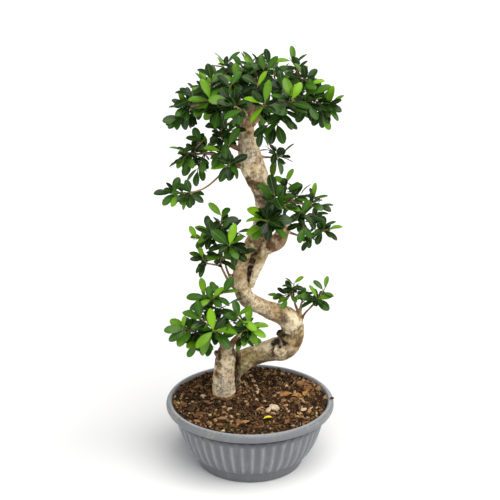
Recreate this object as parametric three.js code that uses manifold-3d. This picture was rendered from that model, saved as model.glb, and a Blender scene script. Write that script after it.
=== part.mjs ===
// Ficus bonsai with a twice bent trunk, standing in a round fluted bowl of soil
// Millimetres, +Z up, the bowl's axis on Z and its foot at Z = 0, the front towards -Y
import * as THREE from 'three';
import { mergeVertices } from 'three/addons/utils/BufferGeometryUtils.js';
import Module from 'manifold-3d';

const wasm = await Module();
wasm.setup();

// Sizes of the whole
const GAP = 0.3;
const VIEW_TILT = THREE.MathUtils.degToRad(19);

// Bowl
const FLUTES = 45;
const FLUTE_DEPTH = 2;
// [radius, height] of the plain foot, the fluted wall, the rolled rim and the inside
const FOOT = [[92, 0], [94.5, 2], [99, 20.5]];
const FLUTED = [[109, 26], [121.5, 48], [130, 74], [135, 96]];
const RIM = [[132.6, 98.5], [133.6, 103.5], [145.5, 104.5], [150, 111.5], [148, 117.5],
  [143.5, 120], [139.5, 118], [136, 107.5], [130, 103]];
const INSIDE = [[126, 74], [117.5, 48], [99.5, 26], [88, 5]];

// Soil, a little inside the bowl
const SOIL_SIDE = [[87.4, 5.5], [98.9, 26], [116.9, 48], [125.4, 74], [129.4, 103], [135.4, 108]];
const SOIL_EDGE = 136.7;
const SOIL_RINGS = [SOIL_EDGE, 104, 62, 26];
// Its surface: height in the middle, fall to the edge, and the mound as [x, y, rise, spread]
const SOIL_TOP = 120;
const SOIL_FALL = 5;
const SOIL_MOUND = [-20, 40, 6, 7000];

// Trunk, [x, y, z, radius] along each woody piece
const TRUNK_SIDES = 10;
const PIECE_SIDES = 6;
const LIMB_SIDES = 5;
const THIN_LIMB_SIDES = 4;
const THICK_LIMB = 4.6;
// How far the low cones on a piece's ends rise, as shares of its radius there
const TAIL_RISE = 0.3;
const END_RISE = 0.35;
const MAIN = [
  [-44, 48, 97, 24], [-43, 49, 122, 22.5], [-34, 51, 148, 20.5], [-14, 56, 166, 19.6],
  [3, 60, 173, 18.8], [22, 61, 180, 19], [41, 60, 186, 20.8], [60, 57, 192, 22.8],
  [72, 52, 207, 22.5], [77, 46, 229, 20.8], [73, 41, 249, 20.5], [59, 36, 264, 18.7],
  [37, 30, 275, 16.5], [16, 24, 287, 14.6], [-4, 17, 302, 15], [-13, 10, 323, 15.6],
  [-16, 5, 346, 15.5], [-15, 1, 370, 12.2], [-6, -1, 397, 12], [9, -2, 418, 15.5],
  [20, -6, 441, 17], [25, -10, 469, 17.3], [25, -12, 496, 17.7], [18, -10, 518, 18.6],
  [9, -8, 538, 20.5], [2, -7, 557, 21], [-2, -4, 579, 18], [-5, -2, 599, 15],
  [-5, 0, 615, 12], [-5, 1, 629, 8.5],
];
const STUB = [
  [-46, 10, 98, 25], [-46, 9, 119, 22], [-47, 8, 150, 20], [-45, 6, 181, 18.2],
  [-41, 9, 204, 16.8], [-37, 12, 214, 12],
];
const BODY_PIECES = {
  bark_flap: [[-25, 28, 108, 8], [-23, 26, 150, 6], [-20, 28, 182, 6], [-23, 28, 204, 4]],
  front_strand: [[2, -3, 333, 5], [7, -6, 352, 6.5], [14, -8, 371, 8], [22, -9, 393, 9],
    [27, -9, 412, 9.5], [24, -8, 432, 9]],
  strand_web: [[-3, 9, 338, 8], [0, 8, 360, 8], [6, 7, 387, 8], [14, 4, 408, 8]],
  dead_stub: [[-48, 7, 195, 8], [-57, 1, 204, 5.5], [-61, -1, 210, 3.5]],
  burr: [[60, 48, 222, 9], [49, 46, 227, 5.5]],
  pruned_knot: [[59, 48, 192, 11.5], [58, 31, 190, 11]],
};

// Limbs, bare, from inside the wood to where their twigs start
const LIMBS = {
  crown_left: [[-5, 0, 615, 7], [-23, -12, 640, 6], [-46, -22, 652, 5], [-73, -28, 660, 4],
    [-98, -22, 655, 2.6]],
  crown_up_left: [[-7, 0, 622, 6], [-16, -4, 653, 5], [-26, -4, 678, 4], [-34, -2, 704, 2.4]],
  crown_middle: [[-3, 0, 622, 6], [3, -5, 653, 5], [10, -8, 682, 4], [10, -8, 702, 2.4]],
  crown_right: [[-2, 0, 615, 7], [20, -12, 643, 6], [49, -25, 658, 5], [81, -28, 663, 4],
    [108, -20, 658, 2.6]],
  crown_up_right: [[36, -20, 652, 5], [60, -18, 676, 4], [73, -14, 695, 3.2], [80, -10, 712, 2.2]],
  crown_front: [[-3, -3, 619, 6], [0, -35, 642, 5], [13, -65, 658, 4], [25, -80, 665, 2.4]],
  crown_front_left: [[-2, -25, 636, 4], [-16, -50, 652, 3.5], [-29, -62, 661, 2.2]],
  crown_front_right: [[13, -65, 658, 3.5], [41, -72, 665, 3], [60, -74, 668, 2.2]],
  crown_back: [[-5, 3, 617, 6], [-7, 40, 632, 5], [-7, 72, 642, 3]],
  crown_back_left: [[-7, 26, 626, 4.5], [-37, 52, 643, 4], [-71, 56, 652, 2.6]],
  crown_back_right: [[-7, 26, 626, 4.5], [30, 55, 642, 4], [71, 62, 651, 2.6]],
  left_main: [[-8, -8, 549, 7], [-27, -20, 559, 5], [-50, -20, 571, 4], [-75, -14, 574, 3.2],
    [-91, -14, 571, 2.2]],
  left_low: [[-30, -20, 559, 3.5], [-41, -32, 553, 2.6], [-51, -36, 541, 2.4],
    [-70, -37, 524, 2.2], [-88, -36, 515, 2], [-116, -32, 509, 1.6]],
  left_high: [[-10, -7, 577, 5], [-30, -20, 588, 4], [-46, -14, 596, 2.4]],
  right_twig: [[8, -1, 565, 5], [27, 6, 562, 2.6], [45, 9, 561, 1.8]],
  right_low: [[24, -8, 402, 9], [48, -12, 412, 8], [57, -14, 426, 7], [60, -16, 444, 6],
    [64, -18, 455, 4.5], [81, -24, 462, 2.6]],
  right_arm: [[60, -15, 437, 4.5], [70, -16, 435, 3], [84, -20, 432, 2.4], [102, -22, 436, 2.2],
    [122, -23, 439, 1.6]],
  right_high: [[27, -13, 480, 7], [42, -28, 492, 5], [64, -28, 495, 4], [84, -26, 491, 3],
    [104, -22, 485, 2]],
  right_front: [[27, -14, 454, 6], [30, -40, 459, 4], [31, -54, 466, 2.4]],
  mid_low: [[-15, 6, 325, 6], [-30, -2, 334, 4], [-40, -8, 351, 3], [-49, -14, 373, 2.6],
    [-52, -16, 383, 2]],
  mid_thin: [[-23, 4, 339, 5], [-36, -2, 354, 3], [-43, -8, 380, 2.4], [-44, -12, 403, 1.8]],
  mid_high: [[-5, -3, 386, 7], [-17, -14, 400, 5], [-32, -24, 413, 4], [-47, -22, 428, 3],
    [-64, -18, 430, 2]],
  mid_left: [[-50, -15, 376, 2.4], [-65, -22, 381, 2], [-76, -26, 384, 1.5]],
  bend_left: [[85, 42, 232, 7], [89, 42, 248, 5], [88, 42, 262, 4], [80, 43, 284, 2.6],
    [77, 44, 301, 1.8]],
  bend_middle: [[89, 42, 252, 4], [90, 42, 275, 3], [93, 43, 290, 1.8]],
  bend_right: [[87, 42, 239, 5], [96, 41, 262, 2.8], [105, 40, 274, 2.4], [116, 38, 286, 1.8]],
  base_main: [[-45, 8, 200, 9], [-48, 0, 224, 6], [-56, -12, 248, 5], [-66, -22, 275, 4],
    [-72, -24, 302, 2.4]],
  base_right: [[-39, 12, 205, 8], [-27, 4, 230, 5], [-12, -12, 250, 3.5], [-5, -24, 260, 2.2]],
  base_left: [[-49, -3, 231, 4.5], [-77, -16, 246, 3.5], [-97, -26, 256, 2.2]],
  base_front: [[-57, -13, 251, 4], [-62, -40, 265, 2.6]],
};

const WOOD = [MAIN, STUB, ...Object.values(BODY_PIECES), ...Object.values(LIMBS)];

// Leafy sprays: the limb each grows on, then its shoots
// A shoot is [tip, leaf length, how many of its leaves are young, leaf directions seen from the front]
const SPRAYS = {
  crown_left_end: ['crown_left',
    [[-109, -20, 652], 30, 1, [100, 172, 200, 218, 238]], [[-93, 6, 639], 26, 0, [250, 275, 300]],
    [[-91, -36, 677], 29, 0, [160, 115, 200, 60]]],
  crown_left_front: ['crown_left',
    [[-64, -58, 674], 36, 0, [108, 80, 172, 150, 205]], [[-75, -26, 691], 27, 2, [95, 60, 122, 150, 200]],
    [[-61, -30, 706], 29, 0, [150, 100, 60, 200]]],
  crown_left_low: ['crown_left', [[-52, -38, 650], 31, 0, [262, 292, 330, 215]]],
  crown_tip_left: ['crown_up_left',
    [[-38, 0, 721], 29, 0, [52, 128, 165, 195, 20]], [[-45, -25, 702], 28, 0, [95, 140, 45, 205, 250]]],
  crown_inner_left: ['crown_up_left',
    [[-18, -30, 697], 29, 0, [100, 160, 40, 330]], [[-32, -46, 690], 29, 0, [130, 60, 200, 240]]],
  crown_top: ['crown_middle',
    [[4, -5, 716], 26, 2, [122, 60, 178, 5]], [[29, -18, 711], 29, 0, [60, 100, 150, 340]],
    [[-16, -10, 709], 28, 0, [120, 60, 170, 15]], [[37, -12, 723], 28, 0, [150, 100, 60, 200]]],
  crown_top_front: ['crown_middle', [[12, -58, 694], 29, 1, [62, 15, 150, 205]]],
  crown_front_low: ['crown_front', [[23, -98, 677], 36, 3, [78, 160, 228, 345, 285]]],
  crown_front_left: ['crown_front_left',
    [[-34, -66, 676], 30, 0, [180, 120, 60, 240]], [[-11, -88, 662], 32, 0, [200, 240, 280, 160, 320]]],
  crown_front_right: ['crown_front_right', [[67, -88, 680], 34, 2, [108, 62, 150, 5, 340]]],
  crown_under: ['crown_front_right',
    [[56, -66, 644], 32, 0, [170, 210, 300, 340]], [[40, -50, 627], 31, 0, [255, 290, 220, 330]],
    [[20, -46, 623], 29, 0, [250, 290, 215, 320]]],
  crown_right_mid: ['crown_right',
    [[95, -45, 662], 32, 0, [300, 335, 245, 20, 60]], [[103, -30, 677], 29, 0, [30, 350, 90, 150]]],
  crown_right_end: ['crown_right', [[117, -14, 657], 31, 1, [60, 85, 10, 318, 303, 250]]],
  crown_tip_right: ['crown_up_right',
    [[67, -5, 727], 30, 1, [176, 95, 50, 215]], [[75, -2, 712], 30, 0, [170, 190, 285]]],
  crown_right_up: ['crown_up_right',
    [[88, -12, 700], 26, 3, [115, 55, 355, 175]], [[86, -24, 690], 31, 0, [345, 318, 160]]],
  crown_right_in: ['crown_up_right',
    [[51, -12, 690], 29, 0, [100, 150, 40, 200]], [[53, -44, 686], 29, 0, [100, 150, 30, 220]]],
  crown_back_far: ['crown_back',
    [[-7, 104, 644], 32, 0, [90, 150, 30, 210, 330]], [[-5, 66, 674], 29, 1, [80, 140, 20, 180]],
    [[-22, 42, 690], 28, 0, [100, 150, 60, 200]], [[10, 40, 694], 28, 0, [80, 30, 140]]],
  crown_back_left_end: ['crown_back_left',
    [[-92, 60, 651], 31, 0, [160, 120, 200, 240, 80]], [[-84, 34, 633], 28, 0, [200, 160, 250]]],
  crown_back_left_mid: ['crown_back_left',
    [[-57, 92, 641], 32, 0, [150, 100, 200, 60]], [[-57, 48, 685], 29, 1, [100, 150, 50, 200]]],
  crown_back_right_end: ['crown_back_right',
    [[90, 66, 654], 31, 0, [20, 60, 340, 300, 100]], [[78, 36, 632], 28, 0, [340, 20, 290]]],
  crown_back_right_mid: ['crown_back_right',
    [[48, 98, 640], 32, 0, [30, 80, 340, 120]], [[40, 50, 684], 29, 1, [80, 130, 30, 340]]],
  crown_back_low: ['crown_back',
    [[-17, 66, 619], 29, 0, [210, 250, 300, 160]], [[14, 52, 616], 28, 0, [300, 340, 250]]],
  left_tip: ['left_main',
    [[-107, -20, 577], 30, 2, [152, 172, 218, 62, 38]], [[-98, -8, 562], 29, 0, [245, 305, 335]],
    [[-77, -30, 599], 28, 0, [160, 110, 200, 60]]],
  left_mid: ['left_main',
    [[-77, -2, 556], 30, 0, [150, 205, 245, 20]], [[-88, 2, 539], 28, 0, [262, 228, 292]],
    [[-74, 8, 579], 28, 0, [150, 110, 30, 190]]],
  left_front: ['left_main', [[-34, -50, 561], 32, 1, [182, 102, 30, 238, 265, 300]]],
  left_upper: ['left_high',
    [[-53, -8, 609], 23, 0, [130, 60, 185, 215, 350]], [[-34, -42, 593], 32, 0, [62, 30, 270, 200]],
    [[-46, -22, 624], 27, 0, [180, 100, 40, 230]], [[-26, -28, 618], 29, 0, [200, 150, 60, 280]]],
  left_centre: ['left_main', [[-47, -44, 585], 29, 1, [165, 240, 280, 60]]],
  left_low_mid: ['left_low', [[-101, -36, 505], 28, 1, [238, 268, 325, 18, 118, 142]]],
  left_low_end: ['left_low', [[-133, -30, 509], 28, 0, [174, 72, 212, 250, 285]]],
  right_twig_end: ['right_twig',
    [[52, 10, 562], 30, 0, [48, 18, 125, 250, 290]], [[30, 14, 576], 26, 0, [100, 150, 260, 50]]],
  right_front: ['right_front', [[30, -66, 473], 40, 3, [170, 142, 208, 58, 10, 325, 285, 232]]],
  right_high_tip: ['right_high', [[60, -26, 526], 27, 1, [70, 128, 22, 5, 335, 165]]],
  right_high_near: ['right_high',
    [[40, -50, 514], 36, 0, [102, 140, 300, 245, 20]], [[60, -54, 491], 31, 0, [150, 200, 345, 90]]],
  right_high_mid: ['right_high',
    [[70, -36, 503], 27, 0, [60, 150, 330, 200]], [[85, 18, 490], 29, 0, [60, 120, 0, 200]]],
  right_high_end: ['right_high',
    [[108, -20, 501], 25, 1, [88, 25, 178, 335, 230]], [[118, -8, 480], 26, 0, [10, 335, 215]]],
  right_mid: ['right_low',
    [[102, -30, 472], 28, 0, [345, 300, 160, 240, 70]], [[85, -48, 484], 28, 1, [155, 215, 320, 60]],
    [[90, -48, 454], 27, 0, [250, 300, 200]]],
  right_back_in: ['right_low', [[55, 24, 456], 29, 0, [110, 160, 60, 200]]],
  right_back_out: ['right_arm', [[108, 16, 456], 28, 0, [20, 330, 80]]],
  right_arm_end: ['right_arm',
    [[132, -25, 445], 27, 1, [14, 325, 195, 85, 245]], [[116, -18, 457], 25, 0, [150, 100, 30, 215]]],
  right_arm_low: ['right_arm', [[100, -26, 425], 24, 0, [232, 275, 55]]],
  mid_top: ['mid_high', [[-47, -30, 470], 30, 1, [132, 62, 8, 222, 175, 295]]],
  mid_front: ['mid_high',
    [[-34, -58, 426], 36, 2, [78, 42, 138, 188, 345, 305]], [[-18, -44, 404], 30, 0, [25, 320, 280]]],
  mid_left_tip: ['mid_high',
    [[-91, -25, 427], 27, 1, [118, 38, 188, 232, 320]], [[-70, 0, 434], 28, 0, [100, 150, 60, 205]],
    [[-62, -44, 440], 28, 0, [150, 200, 100, 250]]],
  mid_low_end: ['mid_left', [[-80, -30, 395], 27, 1, [108, 148, 222, 245, 40]]],
  mid_low_front: ['mid_low', [[-47, -38, 400], 30, 0, [185, 10, 150, 330]]],
  mid_back: ['mid_high',
    [[-49, 34, 420], 29, 0, [110, 150, 60, 190]], [[-22, 16, 424], 28, 0, [18, 350, 60, 120]]],
  bend_top: ['bend_left',
    [[78, 45, 322], 22, 1, [38, 132, 165, 5]], [[55, 36, 297], 25, 0, [160, 190, 48, 330, 100]],
    [[65, 24, 298], 21, 0, [238, 200]]],
  bend_mid: ['bend_middle', [[102, 48, 304], 24, 0, [150, 200, 330, 90]]],
  bend_end: ['bend_right',
    [[133, 42, 313], 23, 1, [78, 128, 345, 215]], [[118, 26, 300], 28, 1, [112, 318, 20, 158, 195]]],
  base_top: ['base_main',
    [[-79, -25, 327], 33, 0, [97, 42, 170, 200, 228]], [[-64, -40, 326], 27, 2, [48, 205, 100]],
    [[-45, -36, 334], 30, 0, [60, 20, 120, 330]]],
  base_mid_up: ['base_main', [[-42, -8, 299], 36, 0, [30, 320, 180, 350]]],
  base_front: ['base_front',
    [[-62, -78, 281], 42, 3, [98, 2, 222, 318, 238, 155]], [[-85, -52, 294], 35, 0, [100, 150, 200, 260]]],
  base_left_end: ['base_left', [[-115, -46, 273], 34, 1, [84, 178, 212, 150, 232]]],
  base_left_low: ['base_left',
    [[-92, -30, 235], 31, 0, [232, 205, 180, 320]], [[-65, -26, 231], 26, 0, [240, 210, 300]]],
  base_right_end: ['base_right',
    [[-1, -42, 276], 36, 5, [93, 5, 332, 255, 300]], [[-28, -34, 270], 33, 0, [160, 30, 205, 60]],
    [[-24, -46, 295], 29, 0, [40, 100, 160, 330]]],
  base_near: ['base_right', [[-8, -14, 236], 28, 0, [0, 330, 250]]],
  base_back: ['base_main',
    [[-78, 22, 276], 33, 0, [100, 150, 50, 200]], [[-102, 14, 252], 31, 0, [170, 210, 120]],
    [[-43, 18, 243], 30, 0, [150, 80, 30]]],
};

// Twigs: where side shoots leave the main twig, as a share of it, and how thick the twigs are
const SIDE_START = 0.3;
const MAIN_THICK = 1.8;
const SIDE_THICK = 1.4;
const TIP_THICK = 1.1;
// How far a twig follows its parent and rises before it turns to its tip, as shares of its length
const TWIG_LEAD = 0.35;
const TWIG_RISE = 0.06;
// First stops of a side shoot, as shares of its own length, tried in this order
const SIDE_STOPS = [0.12, 0.16, 0.2, 0.25, 0.3, 0.36, 0.42, 0.5, 0.6, 0.7];
// How far past its ends, as a share of its length, an edge still counts as meeting a face
const MARGIN = 0.01;

// Leaf: how far along and how wide, as shares of its length, its two rows lie, and its thickness
const LEAF_ROWS = [[0.42, 0.27], [0.79, 0.215]];
const LEAF_THICK = 1;
const LEAF_STEP = 3.4;
const LEAF_CLEAR = 0.35;
// A leaf's neck is measured at these shares of its way from twig to blade, and is never thinner than this
const NECK_SHARES = [0.2, 0.4, 0.6, 0.8];
const NECK_LEAST = 0.12;
// A leaf that would touch another is turned, leaned and shrunk: [turn, lean, size], in this order
const TRIES = [
  [0, 0, 1], [0, 13, 1], [0, -13, 1], [8, 5, 1], [-8, 5, 1], [8, -9, 0.97], [-8, -9, 0.97],
  [0, 26, 0.95], [0, -26, 0.95], [16, 10, 0.93], [-16, 10, 0.93], [16, -18, 0.9], [-16, -18, 0.9],
  [0, 40, 0.88], [0, -40, 0.88], [12, 32, 0.86], [-12, 32, 0.86], [26, 0, 0.84], [-26, 0, 0.84],
  [26, 26, 0.8], [-26, 26, 0.8], [20, -36, 0.78], [-20, -36, 0.78], [0, 55, 0.72], [0, -55, 0.72],
];

const add = (a, b, k = 1) => [a[0] + b[0] * k, a[1] + b[1] * k, a[2] + b[2] * k];
const dot = (a, b) => a[0] * b[0] + a[1] * b[1] + a[2] * b[2];
const size = (a) => Math.sqrt(dot(a, a));
const unit = (a) => a.map((value) => value / size(a));
const cross = (a, b) => [a[1] * b[2] - a[2] * b[1], a[2] * b[0] - a[0] * b[2], a[0] * b[1] - a[1] * b[0]];
const radians = (degrees) => degrees * Math.PI / 180;

// Seeded draws between 0 and 1
function draws(seed) {
  let state = seed;
  return () => {
    state = (state + 0x6D2B79F5) | 0;
    let t = Math.imul(state ^ (state >>> 15), 1 | state);
    t = (t + Math.imul(t ^ (t >>> 7), 61 | t)) ^ t;
    return ((t ^ (t >>> 14)) >>> 0) / 4294967296;
  };
}

// A closed solid from vertices and faces, through a three.js geometry
function geometryOf(points, faces) {
  const geometry = new THREE.BufferGeometry();
  geometry.setAttribute('position', new THREE.Float32BufferAttribute(points.flat(), 3));
  geometry.setIndex(faces.flat());
  return geometry;
}

function solid(points, faces) {
  const merged = mergeVertices(geometryOf(points, faces), 1e-4);
  return new wasm.Manifold(new wasm.Mesh({
    numProp: 3,
    vertProperties: merged.attributes.position.array,
    triVerts: new Uint32Array(merged.index.array),
  }));
}

// Rings stitched one above the other, a ring of half the count takes three faces for two
function stitch(rings, bottom, top) {
  const points = [bottom, ...rings.flat(), top];
  const faces = [];
  const starts = [];
  let start = 1;
  for (const ring of rings) {
    starts.push(start);
    start += ring.length;
  }
  const first = rings[0].length;
  for (let i = 0; i < first; i += 1) faces.push([0, 1 + (i + 1) % first, 1 + i]);
  for (let j = 0; j + 1 < rings.length; j += 1) {
    const n = rings[j].length;
    const m = rings[j + 1].length;
    const low = (i) => starts[j] + i % n;
    const high = (i) => starts[j + 1] + i % m;
    if (n === m) {
      for (let i = 0; i < n; i += 1) {
        faces.push([low(i), low(i + 1), high(i + 1)], [low(i), high(i + 1), high(i)]);
      }
    } else if (m > n) {
      for (let i = 0; i < n; i += 1) {
        faces.push([low(i), high(2 * i + 1), high(2 * i)], [low(i), low(i + 1), high(2 * i + 1)]);
        faces.push([low(i + 1), high(2 * i + 2), high(2 * i + 1)]);
      }
    } else {
      for (let i = 0; i < m; i += 1) {
        faces.push([low(2 * i), low(2 * i + 1), high(i)], [low(2 * i + 1), high(i + 1), high(i)]);
        faces.push([low(2 * i + 1), low(2 * i + 2), high(i + 1)]);
      }
    }
  }
  const end = rings.length - 1;
  const last = rings[end].length;
  const apex = points.length - 1;
  for (let i = 0; i < last; i += 1) faces.push([apex, starts[end] + i, starts[end] + (i + 1) % last]);
  return solid(points, faces);
}

function ring(radius, height, count, valley = radius) {
  return Array.from({ length: count }, (_, i) => {
    const angle = 2 * Math.PI * i / count;
    const r = i % 2 ? valley : radius;
    const z = typeof height === 'function' ? height(r * Math.cos(angle), r * Math.sin(angle)) : height;
    return [r * Math.cos(angle), r * Math.sin(angle), z];
  });
}

// Point and radius at s along [x, y, z, radius] points, s counting the points
function along(points, s) {
  const last = points.length - 1;
  const i = Math.max(0, Math.min(Math.floor(s), last - 1));
  const t = s - i;
  const b = points[i];
  const c = points[i + 1];
  const a = i > 0 ? points[i - 1] : b.map((value, k) => 2 * value - c[k]);
  const d = i < last - 1 ? points[i + 2] : c.map((value, k) => 2 * value - b[k]);
  return b.map((value, k) => value + 0.5 * t * (c[k] - a[k]
    + t * (2 * a[k] - 5 * value + 4 * c[k] - d[k]
    + t * (3 * (value - c[k]) + d[k] - a[k]))));
}

// A tube of rings along the points, closed by a low point at each end
function tube(points, sides, perSpan, grow = 0) {
  const count = (points.length - 1) * perSpan + 1;
  const centres = Array.from({ length: count }, (_, i) => along(points, i / perSpan));
  const rings = [];
  let side = null;
  centres.forEach((centre, i) => {
    const before = centres[Math.max(i - 1, 0)];
    const after = centres[Math.min(i + 1, count - 1)];
    const forward = unit(add(after, before, -1));
    const seed = side ?? (Math.abs(forward[0]) < 0.8 ? [1, 0, 0] : [0, 1, 0]);
    side = unit(add(seed, forward, -dot(seed, forward)));
    const other = cross(forward, side);
    const r = centre[3] + grow;
    rings.push(Array.from({ length: sides }, (_, k) => {
      const angle = 2 * Math.PI * k / sides;
      return add(add(centre, side, r * Math.cos(angle)), other, r * Math.sin(angle));
    }));
  });
  const head = centres[count - 1];
  const tail = centres[0];
  const headWay = unit(add(head, centres[count - 2], -1));
  const tailWay = unit(add(tail, centres[1], -1));
  const bottom = add(tail, tailWay, TAIL_RISE * tail[3] + grow);
  const top = add(head, headWay, END_RISE * head[3] + grow);
  return stitch(rings, bottom, top);
}

// Bowl: foot, fluted wall, rolled rim and the inside in one turned skin
function makeBowl() {
  const rings = [
    ...FOOT.map(([r, z]) => ring(r, z, FLUTES)),
    ...FLUTED.map(([r, z]) => ring(r, z, 2 * FLUTES, r - FLUTE_DEPTH)),
    ...RIM.map(([r, z]) => ring(r, z, FLUTES)),
    ...INSIDE.map(([r, z]) => ring(r, z, FLUTES)),
  ];
  return stitch(rings, [0, 0, 0], [0, 0, INSIDE[INSIDE.length - 1][1]]);
}

// Soil surface, a low mound round the trunk
function soilHeight(x, y) {
  const [mx, my, rise, spread] = SOIL_MOUND;
  const fall = SOIL_FALL * (x * x + y * y) / SOIL_EDGE ** 2;
  const mound = rise * Math.exp(-((x - mx) ** 2 + (y - my) ** 2) / spread);
  const waves = 0.9 * Math.sin(x / 21 + 1) * Math.sin(y / 17);
  return SOIL_TOP - fall + mound + waves;
}

function makeSoil() {
  const rings = [
    ...SOIL_SIDE.map(([r, z]) => ring(r, z, FLUTES)),
    ...SOIL_RINGS.map((r) => ring(r, soilHeight, FLUTES)),
  ];
  return stitch(rings, [0, 0, SOIL_SIDE[0][1]], [0, 0, soilHeight(0, 0)]);
}

// Trunk with every limb fused on
function makeTrunk(grow) {
  let wood = tube(MAIN, TRUNK_SIDES, 1, grow).add(tube(STUB, TRUNK_SIDES, 1, grow));
  for (const points of Object.values(BODY_PIECES)) wood = wood.add(tube(points, PIECE_SIDES, 1, grow));
  for (const points of Object.values(LIMBS)) {
    const sides = points[0][3] > THICK_LIMB ? LIMB_SIDES : THIN_LIMB_SIDES;
    wood = wood.add(tube(points, sides, 1, grow));
  }
  return wood;
}

// Twig from a little down its parent to the tip, a curve with one bend
function twigCurve(parentAt, tip, fixed) {
  let best = 0;
  let nearest = Infinity;
  for (let k = 0; k <= 60; k += 1) {
    const distance = size(add(parentAt(k / 60), tip, -1));
    if (distance < nearest) [best, nearest] = [k / 60, distance];
  }
  let s = fixed ?? best;
  if (fixed === undefined) {
    const reach = Math.min(12, 0.45 * nearest);
    while (s > 0.1 && size(add(parentAt(s), parentAt(best), -1)) < reach) s -= 1 / 60;
    s = Math.max(s, 0.1);
  }
  const start = parentAt(s);
  const ahead = unit(add(parentAt(s + 0.003), start, -1));
  const span = size(add(tip, start, -1));
  const bend = add(add(start, ahead, TWIG_LEAD * span), [0, 0, 1], TWIG_RISE * span);
  const mix = (t, a, b, c) => (1 - t) ** 2 * a + 2 * t * (1 - t) * b + t * t * c;
  const at = (t) => start.map((value, k) => mix(t, value, bend[k], tip[k]));
  return { at, span };
}

// Clear way from a point to the wood of the trunk and its limbs, whose far ends are low cones
function woodDistance(point) {
  let nearest = Infinity;
  for (const piece of WOOD) {
    for (let i = 0; i + 1 < piece.length; i += 1) {
      const [a, b] = [piece[i], piece[i + 1]];
      const run = add(b, a, -1);
      const t = Math.max(0, Math.min(1, dot(add(point, a, -1), run) / dot(run, run)));
      const away = size(add(point, add(a, run, t), -1));
      const past = dot(add(point, b, -1), unit(run));
      const aside = Math.sqrt(Math.max(0, away ** 2 - past ** 2)) - b[3];
      const open = i + 2 === piece.length && t === 1;
      const clear = open ? Math.max(past - END_RISE * b[3], aside) : away - (a[3] + (b[3] - a[3]) * t);
      nearest = Math.min(nearest, clear);
    }
  }
  return nearest;
}

// Three corners round a centre, the first towards side
function corners(centre, forward, side, radius) {
  const first = unit(add(side, forward, -dot(side, forward)));
  const second = cross(forward, first);
  return [0, 1, 2].map((k) => {
    const angle = 2 * Math.PI * k / 3;
    return add(add(centre, first, radius * Math.cos(angle)), second, radius * Math.sin(angle));
  });
}

const boxOf = (points) => [0, 1, 2].map((k) => {
  const values = points.map((point) => point[k]);
  return [Math.min(...values), Math.max(...values)];
});
const apart = (a, b) => a.some(([low, high], k) => low > b[k][1] || high < b[k][0]);

// Whether the edge from p to q goes through the face a, b, c
function pierces(p, q, [a, b, c]) {
  const run = add(q, p, -1);
  const [u, v, from] = [add(b, a, -1), add(c, a, -1), add(p, a, -1)];
  const side = cross(run, v);
  const scale = dot(u, side);
  const lift = cross(from, u);
  const [x, y, t] = [dot(from, side) / scale, dot(run, lift) / scale, dot(v, lift) / scale];
  return [x, y, 1 - x - y, t, 1 - t].every((share) => share > -MARGIN);
}

// Whether two faces, given as corner indexes, cross anywhere but at corners they share
function facesCross(at, one, two) {
  const shared = one.filter((index) => two.includes(index));
  if (shared.length > 1) return false;
  const cuts = (from, to) => [0, 1, 2].some((k) => {
    const edge = [from[k], from[(k + 1) % 3]];
    return !edge.includes(shared[0]) && pierces(...edge.map(at), to.map(at));
  });
  return cuts(one, two) || cuts(two, one);
}

// Whether new faces, on a body's points and extra ones after them, cross no other face
function fits(body, extra, faces, opened) {
  const count = body.points.length;
  const at = (index) => (index < count ? body.points[index] : extra[index - count]);
  const fresh = faces.map((corners3) => ({ at: corners3, box: boxOf(corners3.map(at)) }));
  const old = body.faces.filter((face) => !face.gone && face !== opened);
  return fresh.every((face, i) => [...fresh.slice(i + 1), ...old].every((other) => {
    other.box ??= boxOf(other.at.map(at));
    return apart(face.box, other.box) || !facesCross(at, face.at, other.at);
  }));
}

const normalOf = (body, face) => {
  const [a, b, c] = face.at.map((index) => body.points[index]);
  return unit(cross(add(b, a, -1), add(c, a, -1)));
};

// Way along a curve
const wayAlong = (at, t) => unit(add(at(Math.min(1, t + 0.01)), at(Math.max(0, t - 0.01)), -1));

// Base of a main twig, three corners slid back until they almost meet the wood
function twigBase({ at }, room) {
  let t0 = 0.02;
  while (t0 < 0.8 && woodDistance(at(t0)) < room + MAIN_THICK) t0 += 0.01;
  const forward = wayAlong(at, t0);
  const base = corners(at(t0), forward, [0, 0.2, 1], MAIN_THICK).map((corner) => {
    let slid = 0;
    while (slid < 5 && woodDistance(add(corner, forward, -slid - 0.1)) > room + 0.05) slid += 0.1;
    return add(corner, forward, -slid);
  });
  return { base, t0 };
}

// Rings of a three cornered twig on its base, the last ones an even step apart for its leaves
function twigRings(base, { at, span }, thick, firsts, leafCount) {
  const stops = [...firsts];
  const first = stops[stops.length - 1];
  const step = Math.min(LEAF_STEP / span, 0.95 * (1 - first) / leafCount);
  const leafy = 1 - step * leafCount;
  if ((leafy - first) * span > 12) stops.push((first + leafy) / 2);
  if (leafy - first > 0.05) stops.push(leafy);
  for (let i = leafCount - 1; i >= 0; i -= 1) stops.push(1 - step * i);
  const rings = [base];
  for (const t of stops) {
    const low = rings[rings.length - 1];
    const middle = low.reduce((a, b) => add(a, b)).map((value) => value / 3);
    const radius = thick + (TIP_THICK - thick) * t;
    rings.push(corners(at(t), wayAlong(at, t), add(low[0], middle, -1), radius));
  }
  return { rings, stops };
}

// Faces between the rings of a twig, one list for each span
function twigSpans(indexes) {
  const spans = indexes.slice(1).map((high, i) => {
    const low = indexes[i];
    return [0, 1, 2].flatMap((k) => {
      const n = (k + 1) % 3;
      return [{ at: [low[k], low[n], high[n]] }, { at: [low[k], high[n], high[k]] }];
    });
  });
  spans[spans.length - 1].push({ at: indexes[indexes.length - 1] });
  return spans;
}

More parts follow.
